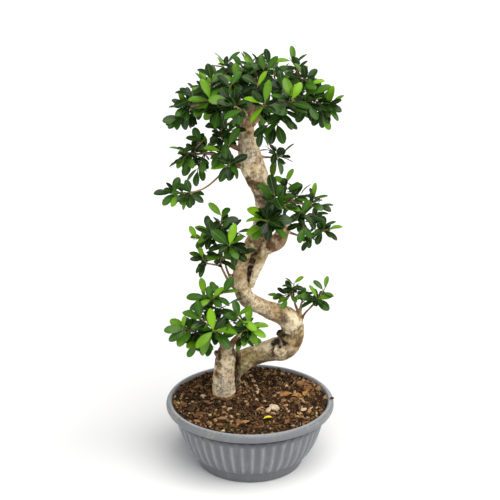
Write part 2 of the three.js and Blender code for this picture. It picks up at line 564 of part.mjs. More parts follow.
function twigSolid(rings) {
  const indexes = rings.map((_, i) => [3 * i, 3 * i + 1, 3 * i + 2]);
  return solid(rings.flat(), [[0, 2, 1], ...twigSpans(indexes).flat().map((face) => face.at)]);
}

// Adds a twig to a spray's body, on base corners that are there already, if it crosses nothing there
function addTwig(body, base, curve, { rings, stops }, leafCount, opened) {
  const extra = rings.slice(1).flat();
  const count = body.points.length;
  const indexes = [base, ...stops.map((_, i) => [0, 1, 2].map((k) => count + 3 * i + k))];
  const spans = twigSpans(indexes);
  if (!fits(body, extra, spans.flat().map((face) => face.at), opened)) return null;
  if (common(twigSolid(rings), trunk) > 0) return null;
  body.points.push(...extra);
  body.faces.push(...spans.flat());
  if (opened) opened.gone = true;
  return {
    ...curve,
    branchFaces: spans.slice(0, Math.max(1, stops.length - leafCount)).flat(),
    leafFaces: spans.slice(-leafCount).reverse(),
  };
}

function growMain(body, curve, leafCount, room, alone) {
  const { base, t0 } = twigBase(curve, room);
  const indexes = base.map((corner) => body.points.push(corner) - 1);
  body.faces.push({ at: [indexes[0], indexes[2], indexes[1]] });
  const first = t0 + Math.min(0.6 * (1 - t0), 4 / curve.span);
  const firsts = alone || first > SIDE_START ? [first] : [first, SIDE_START + 0.06];
  return addTwig(body, indexes, curve, twigRings(base, curve, MAIN_THICK, firsts, leafCount), leafCount);
}

// A side twig grows from an open face of the main twig, the one that looks most its way and keeps it clear
function growSide(body, curve, leafCount, parent) {
  const toward = wayAlong(curve.at, 0.4);
  const turn = (face) => dot(normalOf(body, face), toward);
  const open = parent.branchFaces.filter((face) => !face.gone && turn(face) > 0)
    .sort((a, b) => turn(b) - turn(a));
  for (const first of SIDE_STOPS) {
    for (const face of open) {
      const base = face.at.map((index) => body.points[index]);
      const rings = twigRings(base, curve, SIDE_THICK, [first], leafCount);
      const twig = addTwig(body, face.at, curve, rings, leafCount, face);
      if (twig) return twig;
    }
  }
  throw new Error('a side shoot finds no room on its main twig');
}

// Leaf rows from base to tip, and the keel point below them; grow makes it larger all round
function bladePoints(leaf, grow) {
  const { root, way, up, length, arch } = leaf;
  const across = cross(way, up);
  const spine = (s) => add(add(root, way, (length + 2 * grow) * s), up, -length * arch * s * s);
  const points = [];
  for (const [s, share] of LEAF_ROWS) {
    const half = share * length + 2 * grow;
    points.push(add(add(spine(s), across, half), up, grow), add(add(spine(s), across, -half), up, grow));
  }
  points.push(spine(1), add(spine(LEAF_ROWS[0][0]), up, -LEAF_THICK - grow));
  return points;
}

// Least depth, seen along the leaf, of the neck's underside below its top
function neckDepth([left, right, keel], blade, { way, up }) {
  const across = cross(way, up);
  const [rowLeft, rowRight, bladeKeel] = [blade[0], blade[1], blade[5]];
  const highLeft = dot(left, up) > dot(right, up);
  const depths = NECK_SHARES.flatMap((t) => {
    const between = (a, b) => add(a, add(b, a, -1), t);
    const [far, middle, near] = [
      between(right, rowRight),
      highLeft ? between(left, rowRight) : between(right, rowLeft),
      between(left, rowLeft),
    ].map((point) => [dot(point, across), dot(point, up)]);
    if (far[0] >= middle[0] || middle[0] >= near[0]) return [-1];
    return [left, keel, right].map((corner) => {
      const low = between(corner, bladeKeel);
      const x = dot(low, across);
      const [a, b] = x < middle[0] ? [far, middle] : [middle, near];
      return a[1] + (b[1] - a[1]) * (x - a[0]) / (b[0] - a[0]) - dot(low, up);
    });
  });
  return Math.min(...depths);
}

// Leaf faces on its three root corners, 0 to 2, and the blade points, 3 to 8
// The neck's top is creased from its higher corner, left or right
const LEAF_FACES = [
  [3, 6, 4], [3, 5, 6], [5, 7, 6],
  [0, 8, 3], [0, 2, 8], [2, 1, 8], [1, 4, 8], [3, 8, 5], [5, 8, 7], [7, 8, 6], [6, 8, 4],
];
const NECK_FROM_LEFT = [[0, 4, 1], [0, 3, 4]];
const NECK_FROM_RIGHT = [[0, 3, 1], [3, 4, 1]];

function leafFaces([left, right], { up }) {
  return [...LEAF_FACES, ...(dot(left, up) > dot(right, up) ? NECK_FROM_LEFT : NECK_FROM_RIGHT)];
}

// The open face and the turn of its corners, as left, right and keel, that give a leaf its deepest neck
function rootOf(body, faces, leaf, blade) {
  let best = { depth: NECK_LEAST };
  for (const face of faces) {
    if (face.gone || dot(normalOf(body, face), leaf.way) < 0.2) continue;
    const [a, b, c] = face.at;
    for (const root of [[a, c, b], [b, a, c], [c, b, a]]) {
      const depth = neckDepth(root.map((corner) => body.points[corner]), blade, leaf);
      if (depth > best.depth) best = { depth, face, root };
    }
  }
  return best;
}

function leafSolid(root, blade, leaf) {
  return solid([...root, ...blade], [[0, 1, 2], ...leafFaces(root, leaf)]);
}

// How far a shoot faces the front, 1, or the back, -1; the pad on the bend stands further back
function frontOf([x, y, z]) {
  const middle = x > 30 && z < 330 ? 60 : 10;
  return Math.max(-1, Math.min(1, (middle - y) / 40));
}

// Where each leaf of a shoot starts and faces, for one of the tries
function leafOf(twig, index, angle, length, front, random, attempt) {
  const [turn, lean, shrink] = attempt;
  const root = twig.at(1 - Math.min(0.6, (0.8 + LEAF_STEP * index) / twig.span));
  const tilt = radians(12 * front + 26 * (random[0] - 0.5) + lean);
  const a = radians(angle + turn);
  const picture = [Math.cos(a), Math.sin(VIEW_TILT) * Math.sin(a), Math.cos(VIEW_TILT) * Math.sin(a)];
  const toward = [0, -Math.cos(VIEW_TILT), Math.sin(VIEW_TILT)];
  const way = unit(add(picture.map((value) => value * Math.cos(tilt)), toward, Math.sin(tilt)));
  const sky = [0, -0.55 * front, 0.8];
  const flat = unit(add(sky, way, -dot(sky, way)));
  const roll = radians(56 * (random[1] - 0.5));
  const up = unit(add(flat.map((value) => value * Math.cos(roll)), cross(way, flat), Math.sin(roll)));
  return {
    root,
    way,
    up,
    length: length * (0.9 + 0.2 * random[2]) * shrink,
    arch: 0.1 + 0.16 * random[3],
  };
}

const common = (a, b) => a.intersect(b).volume();

const trunk = makeTrunk(0);

// Twigs of every spray first, cut back until they clear the trunk
function growTwigs(limb, shoots, room) {
  const limbAt = (t) => along(LIMBS[limb], t * (LIMBS[limb].length - 1)).slice(0, 3);
  const body = { points: [], faces: [] };
  const twigs = [];
  for (const [tip, , , angles] of shoots) {
    const twig = twigs.length
      ? growSide(body, twigCurve(twigs[0].at, tip, SIDE_START), angles.length, twigs[0])
      : growMain(body, twigCurve(limbAt, tip), angles.length, room, shoots.length === 1);
    if (!twig) return null;
    twigs.push(twig);
  }
  const wood = solid(body.points, body.faces.filter((face) => !face.gone).map((face) => face.at));
  return { twigs, body, wood };
}

const sprays = Object.entries(SPRAYS).map(([name, [limb, ...shoots]]) => {
  let room = GAP;
  let grown = growTwigs(limb, shoots, room);
  while (!grown && room < 3) {
    room += 0.1;
    grown = growTwigs(limb, shoots, room);
  }
  return { name, shoots, ...grown, box: boxOf(grown.body.points), leaves: [] };
});

// Each leaf draws by its place in the list, and the front ones are placed first
const leaves = [];
for (const spray of sprays) {
  spray.shoots.forEach(([tip, length, , angles], k) => angles.forEach((angle, index) => {
    leaves.push({ spray, twig: spray.twigs[k], index, angle, length, tip, seed: leaves.length + 1 });
  }));
}
leaves.sort((a, b) => a.tip[1] - b.tip[1] || a.seed - b.seed);

// A leaf joins its twig at the root corners: the face it grows from opens, turned to fit the blade
for (const { spray, twig, index, angle, length, tip, seed } of leaves) {
  const { body } = spray;
  const next = draws(seed * 7919);
  const random = [next(), next(), next(), next()];
  for (const attempt of TRIES) {
    const leaf = leafOf(twig, index, angle, length, frontOf(tip), random, attempt);
    const blade = bladePoints(leaf, 0);
    const { face, root } = rootOf(body, twig.leafFaces[index], leaf, blade);
    if (!face) continue;
    const seat = root.map((corner) => body.points[corner]);
    const leafy = leafSolid(seat, blade, leaf);
    const wideBlade = bladePoints(leaf, LEAF_CLEAR);
    const wide = leafSolid(seat, wideBlade, leaf);
    const box = boxOf([...wideBlade, ...seat]);
    const start = body.points.length;
    const faces = leafFaces(seat, leaf)
      .map((corners3) => corners3.map((corner) => (corner < 3 ? root[corner] : start + corner - 3)));
    const clear = fits(body, blade, faces, face) && common(wide, trunk) === 0
      && sprays.every((other) => other === spray || (
        (apart(box, other.box) || common(wide, other.wood) === 0)
        && other.leaves.every((item) => apart(box, item.box) || common(wide, item.leafy) === 0)));
    if (clear) {
      body.points.push(...blade);
      body.faces.push(...faces.map((at) => ({ at })));
      face.gone = true;
      spray.leaves.push({ leafy, box });
      break;
    }
  }
}

// One named mesh for each piece
const group = new THREE.Group();
group.name = 'ficus_bonsai';

function addPiece(name, geometry, color, roughness) {
  geometry.computeVertexNormals();
  const material = new THREE.MeshStandardMaterial({ color, roughness, flatShading: true });
  const item = new THREE.Mesh(geometry, material);
  item.name = name;
  group.add(item);
}

function toGeometry(piece) {
  const mesh = piece.simplify(0.02).getMesh();
  const positions = new Float32Array(mesh.numVert * 3);
  for (let i = 0; i < mesh.numVert; i += 1) {
    const at = i * mesh.numProp;
    positions.set(mesh.vertProperties.subarray(at, at + 3), i * 3);
  }
  const geometry = new THREE.BufferGeometry();
  geometry.setAttribute('position', new THREE.BufferAttribute(positions, 3));
  geometry.setIndex(new THREE.BufferAttribute(new Uint32Array(mesh.triVerts), 1));
  return geometry;
}

addPiece('bowl', toGeometry(makeBowl()), '#6f7b86', 0.55);
addPiece('soil', toGeometry(makeSoil().subtract(makeTrunk(GAP))), '#3a2a1e', 0.95);
addPiece('trunk', toGeometry(trunk), '#b59a78', 0.8);
for (const { name, body } of sprays) {
  const faces = body.faces.filter((face) => !face.gone).map((face) => face.at);
  addPiece(name, geometryOf(body.points, faces), '#3f6b2f', 0.45);
}

export default group;
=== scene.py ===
"""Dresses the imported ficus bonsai: bark, twigs, leaves, potting soil and the moulded bowl.

Laid out as an add-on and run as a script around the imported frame. The tables are in millimetres,
as in the part's source, and every mesh is in metres.
"""

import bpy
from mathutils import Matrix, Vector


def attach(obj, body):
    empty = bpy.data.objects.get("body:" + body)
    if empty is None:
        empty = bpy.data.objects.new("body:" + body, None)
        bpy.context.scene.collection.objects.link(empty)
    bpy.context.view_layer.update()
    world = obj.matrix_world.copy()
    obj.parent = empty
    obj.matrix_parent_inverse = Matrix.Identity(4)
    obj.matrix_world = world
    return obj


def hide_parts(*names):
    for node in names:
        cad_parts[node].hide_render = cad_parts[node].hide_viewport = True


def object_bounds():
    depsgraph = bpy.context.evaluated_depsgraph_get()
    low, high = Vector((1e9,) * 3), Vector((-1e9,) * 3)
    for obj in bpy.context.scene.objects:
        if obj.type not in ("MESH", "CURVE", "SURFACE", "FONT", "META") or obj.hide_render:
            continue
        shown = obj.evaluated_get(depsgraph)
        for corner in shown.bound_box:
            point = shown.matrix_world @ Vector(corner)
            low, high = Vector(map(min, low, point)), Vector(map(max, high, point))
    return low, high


bl_info = {
    "name": "Ficus Bonsai",
    "version": (1, 0, 0),
    "blender": (4, 5, 0),
    "location": "3D Viewport > Sidebar > Bonsai",
    "description": "Dresses a packed ficus bonsai with bark, leaves, soil and a fluted bowl",
    "category": "Object",
}

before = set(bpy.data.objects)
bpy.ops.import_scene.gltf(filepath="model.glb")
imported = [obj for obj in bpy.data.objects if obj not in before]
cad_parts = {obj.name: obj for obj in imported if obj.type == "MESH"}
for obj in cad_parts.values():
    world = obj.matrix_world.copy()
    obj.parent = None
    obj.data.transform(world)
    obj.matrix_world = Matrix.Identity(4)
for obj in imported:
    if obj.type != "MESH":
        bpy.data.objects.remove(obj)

import math

import bpy
import numpy as np
from bpy.props import FloatProperty, FloatVectorProperty, IntProperty, PointerProperty
from mathutils import Vector, noise
from mathutils.kdtree import KDTree

MM = 0.001
CAD_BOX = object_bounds()

# Bowl: (radius, height) of the outside from the foot up, of the rolled rim, and of the inside
BOWL_FOOT = [(0, 0), (60, 0), (88, 0), (92, 0.3), (94.2, 1.6), (95.4, 4), (97.6, 13), (98.9, 19.8), (99.6, 21.2)]
BOWL_WALL = [(101.8, 22), (105.6, 23.6), (108.6, 26), (112.4, 31), (116, 37), (121.2, 48), (126, 60.9), (129.8, 74),
             (132.4, 85), (134, 92), (134, 95.4), (132.4, 97)]
BOWL_RIM = [(131.6, 98.6), (131.6, 102), (133.4, 103.6), (136, 103.8), (141, 103.9), (145.5, 104.4), (148.4, 106.2),
            (149.8, 109), (149.8, 112.6), (149, 115.6), (147.2, 118), (144.6, 119.5), (142.2, 119.6),
            (140.2, 118.6), (138.8, 116.4), (137.9, 113), (136.8, 109.5), (135.6, 107)]
BOWL_INSIDE = [(130, 103), (126, 74), (117.5, 48), (99.5, 26), (88, 5), (40, 5), (0, 5)]
# Heights where the flutes begin and end, how far their ends curve, and how round their hollows are
FLUTE_START = 21.5
FLUTE_END = 97.5
FLUTE_FADE = 7
FLUTE_POWER = 0.85
# How far above its start a flute is full, and how far below its end it begins to fade
FLUTE_RISE = 3
FLUTE_FALL = 6
COLUMNS_PER_FLUTE = 12
# The first row of the rim with the rim's colour, and the heights of its edges that are painted lighter, as rubbing and
# as a painted highlight
RIM_START = 4
RIM_EDGES = (104.4, 119.5, 119.6)
# Heights between which painted shade sets in under the neck, and between which the darkening over the foot leaves off
UNDER_RIM_SHADE_HEIGHTS = (86, 95)
FOOT_DARKENING = (18, 24)

# Soil: (radius, height) of its side, then the surface out to its edge
SOIL_SIDE = [(0, 5.5), (60, 5.5), (87.4, 5.5), (98.9, 26), (116.9, 48), (125.4, 74), (129.4, 103), (135.4, 108)]
SOIL_EDGE = 136.7
SOIL_TOP = 120
SOIL_FALL = 5
# Mound under the trunk: x, y, rise, spread; long waves: height, length along x and y
SOIL_MOUND = (-20, 40, 6, 7000)
SOIL_WAVE = (0.9, 21, 17)
SOIL_STEP = 2.0
SOIL_COLUMNS = 300
# Patches of moss: x, y, radius
MOSS = [(-36, -108, 12), (-22, -116, 9), (-60, -98, 8), (14, 36, 11), (66, 88, 12), (-96, 44, 10)]
# Large bark chips: x, y, height over the soil, half sizes, turn in degrees, tint
LARGE_CHIPS = [
    (-88, -66, 2, (11, 6, 3), 20, 0.42), (-76, -82, 2, (8, 4.5, 2.6), 70, 0.30), (-104, -50, 2, (7, 5, 3), 120, 0.2),
    (43, -50, 4, (9.5, 7, 6.4), 15, 1.0), (32, -58, 3, (6, 5, 3.6), 60, 1.0), (94, -50, 3, (6, 4, 2.6), 20, 1.0),
    (104, 38, 3, (10, 6, 3), 40, 0.62), (112, 16, 2, (9, 5, 2.6), 110, 0.5),
    (92, 60, 2, (8, 6, 3), 0, 0.75), (60, -20, 2, (7, 4, 2.6), 60, 0.7), (-8, -96, 2, (8, 4, 2.4), 150, 0.85),
    (-14, -62, 2, (6, 4, 2.6), 30, 0.35), (72, -74, 2, (7, 4.4, 2.5), 80, 0.3), (18, -112, 2, (7, 4, 2.5), 10, 0.45),
    (-108, 8, 2, (8, 5, 3), 95, 0.35), (-92, 66, 2, (9, 5, 3), 45, 0.4), (36, 108, 2, (8, 5, 3), 20, 0.3),
    (84, -28, 2, (6, 5, 3), 130, 0.5), (-52, -104, 2, (7, 4, 2.6), 165, 0.6), (104, -52, 2, (6, 4, 2.4), 75, 0.8),
    (8, -34, 2, (6, 4, 2.6), 40, 0.25), (-118, -24, 2, (6, 4, 2.4), 10, 0.55), (124, 38, 3, (7, 5, 2.6), 90, 0.7),
]
# Fallen leaves: x, y, height over the soil, length, turn in degrees, age from brown to yellow
FALLEN_LEAVES = [
    (78, 10, 4, 27, 205, 0.15), (96, -6, 4, 25, 150, 0.3), (84, -14, 3.4, 22, 60, 0.05), (104, 22, 4, 21, 250, 0.2),
    (22, -92, 4.6, 19, 24, 1.0), (112, 52, 4, 24, 190, 0.1), (-70, -36, 3.4, 17, 130, 0.0), (30, 76, 3.6, 22, 80, 0.12),
    (-40, 104, 3.6, 24, 300, 0.2), (-104, 30, 3.6, 20, 20, 0.08),
]
# Crumb that lies on the rim: x, y, z, half sizes, turn in degrees, tint
RIM_CRUMB = (146, -6, 121.2, (4.4, 3.2, 2.2), 30, 0.2)
# Crumbs heaped round the stub's foot: x, y, radius of their ring, number; first angle and step in degrees
STUB_RING = (-46, 8, 25, 34)
STUB_ANGLES = (150, 8.2)

# Colours along the tint of loose pieces, from 0 to 1; a word stands for the soil setting of that name
TINTS = {
    "peat": ((0, "dark"), (0.5, (0.035, 0.018, 0.008)), (0.8, "brown"), (1, (0.42, 0.28, 0.14))),
    "bark_mix": ((0, (0.008, 0.0045, 0.0025)), (0.45, (0.03, 0.015, 0.007)), (0.68, "brown"),
                 (0.9, (0.30, 0.17, 0.07)), (1, (0.62, 0.44, 0.25))),
    "bark": ((0, (0.035, 0.016, 0.008)), (0.35, (0.12, 0.055, 0.023)), (0.62, (0.26, 0.12, 0.045)),
             (0.85, (0.50, 0.29, 0.12)), (1, (0.74, 0.58, 0.38))),
    "white": ((0, (0.50, 0.42, 0.31)), (1, (0.86, 0.82, 0.74))),
    "moss": ((0, (0.016, 0.028, 0.006)), (0.6, (0.045, 0.075, 0.014)), (1, (0.12, 0.15, 0.03))),
}
# Loose pieces: name, setting of their density, marked faces, smallest and largest half sizes, tilt, seed, tints,
# roughness
LOOSE_PIECES = (
    ("fine_crumbs", "fine_density", "top", (0.6, 0.6, 0.5), (1.6, 1.6, 1.3), 1.2, 3, "peat", 0.95),
    ("coarse_crumbs", "crumb_density", "top", (0.9, 0.9, 0.8), (5.4, 4.2, 3.4), 1.2, 4, "bark_mix", 0.95),
    ("bark_chips", "chip_density", "top", (2.0, 1.4, 0.7), (11.5, 6.6, 3.4), 0.7, 5, "bark", 0.85),
    ("white_grit", "grit_density", "top", (0.6, 0.6, 0.5), (1.6, 1.5, 1.1), 1.2, 8, "white", 0.8),
    ("moss", "moss_density", "mossy", (0.35, 0.35, 0.9), (0.8, 0.8, 2.6), 0.5, 9, "moss", 0.9),
)

# Wood: [x, y, z, radius] along the trunk, the stub, the other pieces of the body and the bare limbs
MAIN = [
    [-44, 48, 97, 24], [-43, 49, 122, 22.5], [-34, 51, 148, 20.5], [-14, 56, 166, 19.6],
    [3, 60, 173, 18.8], [22, 61, 180, 19], [41, 60, 186, 20.8], [60, 57, 192, 22.8],
    [72, 52, 207, 22.5], [77, 46, 229, 20.8], [73, 41, 249, 20.5], [59, 36, 264, 18.7],
    [37, 30, 275, 16.5], [16, 24, 287, 14.6], [-4, 17, 302, 15], [-13, 10, 323, 15.6],
    [-16, 5, 346, 15.5], [-15, 1, 370, 12.2], [-6, -1, 397, 12], [9, -2, 418, 15.5],
    [20, -6, 441, 17], [25, -10, 469, 17.3], [25, -12, 496, 17.7], [18, -10, 518, 18.6],
    [9, -8, 538, 20.5], [2, -7, 557, 21], [-2, -4, 579, 18], [-5, -2, 599, 15],
    [-5, 0, 615, 12], [-5, 1, 629, 8.5],
]

STUB = [
    [-46, 10, 98, 25], [-46, 9, 119, 22], [-47, 8, 150, 20], [-45, 6, 181, 18.2],
    [-41, 9, 204, 16.8], [-37, 12, 214, 12],
]

BODY_PIECES = {
    "bark_flap": [[-25, 28, 108, 8], [-23, 26, 150, 6], [-20, 28, 182, 6], [-23, 28, 204, 4]],
    "front_strand": [[2, -3, 333, 5], [7, -6, 352, 6.5], [14, -8, 371, 8], [22, -9, 393, 9],
      [27, -9, 412, 9.5], [24, -8, 432, 9]],
    "strand_web": [[-3, 9, 338, 8], [0, 8, 360, 8], [6, 7, 387, 8], [14, 4, 408, 8]],
    "dead_stub": [[-48, 7, 195, 8], [-57, 1, 204, 5.5], [-61, -1, 210, 3.5]],
    "burr": [[60, 48, 222, 9], [49, 46, 227, 5.5]],
    "pruned_knot": [[57, 50, 194, 12], [54, 33, 197, 12.5]],
}

BODY = [MAIN, STUB, *BODY_PIECES.values()]

LIMBS = {
    "crown_left": [[-5, 0, 615, 7], [-23, -12, 640, 6], [-46, -22, 652, 5], [-73, -28, 660, 4],
      [-98, -22, 655, 2.6]],
    "crown_up_left": [[-7, 0, 622, 6], [-16, -4, 653, 5], [-26, -4, 678, 4], [-34, -2, 704, 2.4]],
    "crown_middle": [[-3, 0, 622, 6], [3, -5, 653, 5], [10, -8, 682, 4], [10, -8, 702, 2.4]],
    "crown_right": [[-2, 0, 615, 7], [20, -12, 643, 6], [49, -25, 658, 5], [81, -28, 663, 4],
      [108, -20, 658, 2.6]],
    "crown_up_right": [[36, -20, 652, 5], [60, -18, 676, 4], [73, -14, 695, 3.2], [80, -10, 712, 2.2]],
    "crown_front": [[-3, -3, 619, 6], [0, -35, 642, 5], [13, -65, 658, 4], [25, -80, 665, 2.4]],
    "crown_front_left": [[-2, -25, 636, 4], [-16, -50, 652, 3.5], [-29, -62, 661, 2.2]],
    "crown_front_right": [[13, -65, 658, 3.5], [41, -72, 665, 3], [60, -74, 668, 2.2]],
    "crown_back": [[-5, 3, 617, 6], [-7, 40, 632, 5], [-7, 72, 642, 3]],
    "crown_back_left": [[-7, 26, 626, 4.5], [-37, 52, 643, 4], [-71, 56, 652, 2.6]],
    "crown_back_right": [[-7, 26, 626, 4.5], [30, 55, 642, 4], [71, 62, 651, 2.6]],
    "left_main": [[-8, -8, 549, 7], [-27, -20, 559, 5], [-50, -20, 571, 4], [-75, -14, 574, 3.2],
      [-91, -14, 571, 2.2]],
    "left_low": [[-30, -20, 559, 3.5], [-41, -32, 553, 2.6], [-51, -36, 541, 2.4],
      [-70, -37, 524, 2.2], [-88, -36, 515, 2], [-116, -32, 509, 1.6]],
    "left_high": [[-10, -7, 577, 5], [-30, -20, 588, 4], [-46, -14, 596, 2.4]],
    "right_twig": [[8, -1, 565, 5], [27, 6, 562, 2.6], [45, 9, 561, 1.8]],
    "right_low": [[24, -8, 402, 9], [48, -12, 412, 8], [57, -14, 426, 7], [60, -16, 444, 6],
      [64, -18, 455, 4.5], [81, -24, 462, 2.6]],
    "right_arm": [[60, -15, 437, 4.5], [70, -16, 435, 3], [84, -20, 432, 2.4], [102, -22, 436, 2.2],
      [122, -23, 439, 1.6]],
    "right_high": [[27, -13, 480, 7], [42, -28, 492, 5], [64, -28, 495, 4], [84, -26, 491, 3],
      [104, -22, 485, 2]],
    "right_front": [[27, -14, 454, 6], [30, -40, 459, 4], [31, -54, 466, 2.4]],
    "mid_low": [[-15, 6, 325, 6], [-30, -2, 334, 4], [-40, -8, 351, 3], [-49, -14, 373, 2.6],
      [-52, -16, 383, 2]],
    "mid_thin": [[-23, 4, 339, 5], [-36, -2, 354, 3], [-43, -8, 380, 2.4], [-44, -12, 403, 1.8]],
    "mid_high": [[-5, -3, 386, 7], [-17, -14, 400, 5], [-32, -24, 413, 4], [-47, -22, 428, 3],
      [-64, -18, 430, 2]],
    "mid_left": [[-50, -15, 376, 2.4], [-65, -22, 381, 2], [-76, -26, 384, 1.5]],
    "bend_left": [[85, 42, 232, 7], [89, 42, 248, 5], [88, 42, 262, 4], [80, 43, 284, 2.6],
      [77, 44, 301, 1.8]],
    "bend_middle": [[89, 42, 252, 4], [90, 42, 275, 3], [93, 43, 290, 1.8]],
    "bend_right": [[87, 42, 239, 5], [96, 41, 262, 2.8], [105, 40, 274, 2.4], [116, 38, 286, 1.8]],
    "base_main": [[-45, 8, 200, 9], [-48, 0, 224, 6], [-56, -12, 248, 5], [-66, -22, 275, 4],
      [-72, -24, 302, 2.4]],
    "base_right": [[-39, 12, 205, 8], [-27, 4, 230, 5], [-12, -12, 250, 3.5], [-5, -24, 260, 2.2]],
    "base_left": [[-49, -3, 231, 4.5], [-77, -16, 246, 3.5], [-97, -26, 256, 2.2]],
    "base_front": [[-57, -13, 251, 4], [-62, -40, 265, 2.6]],
}

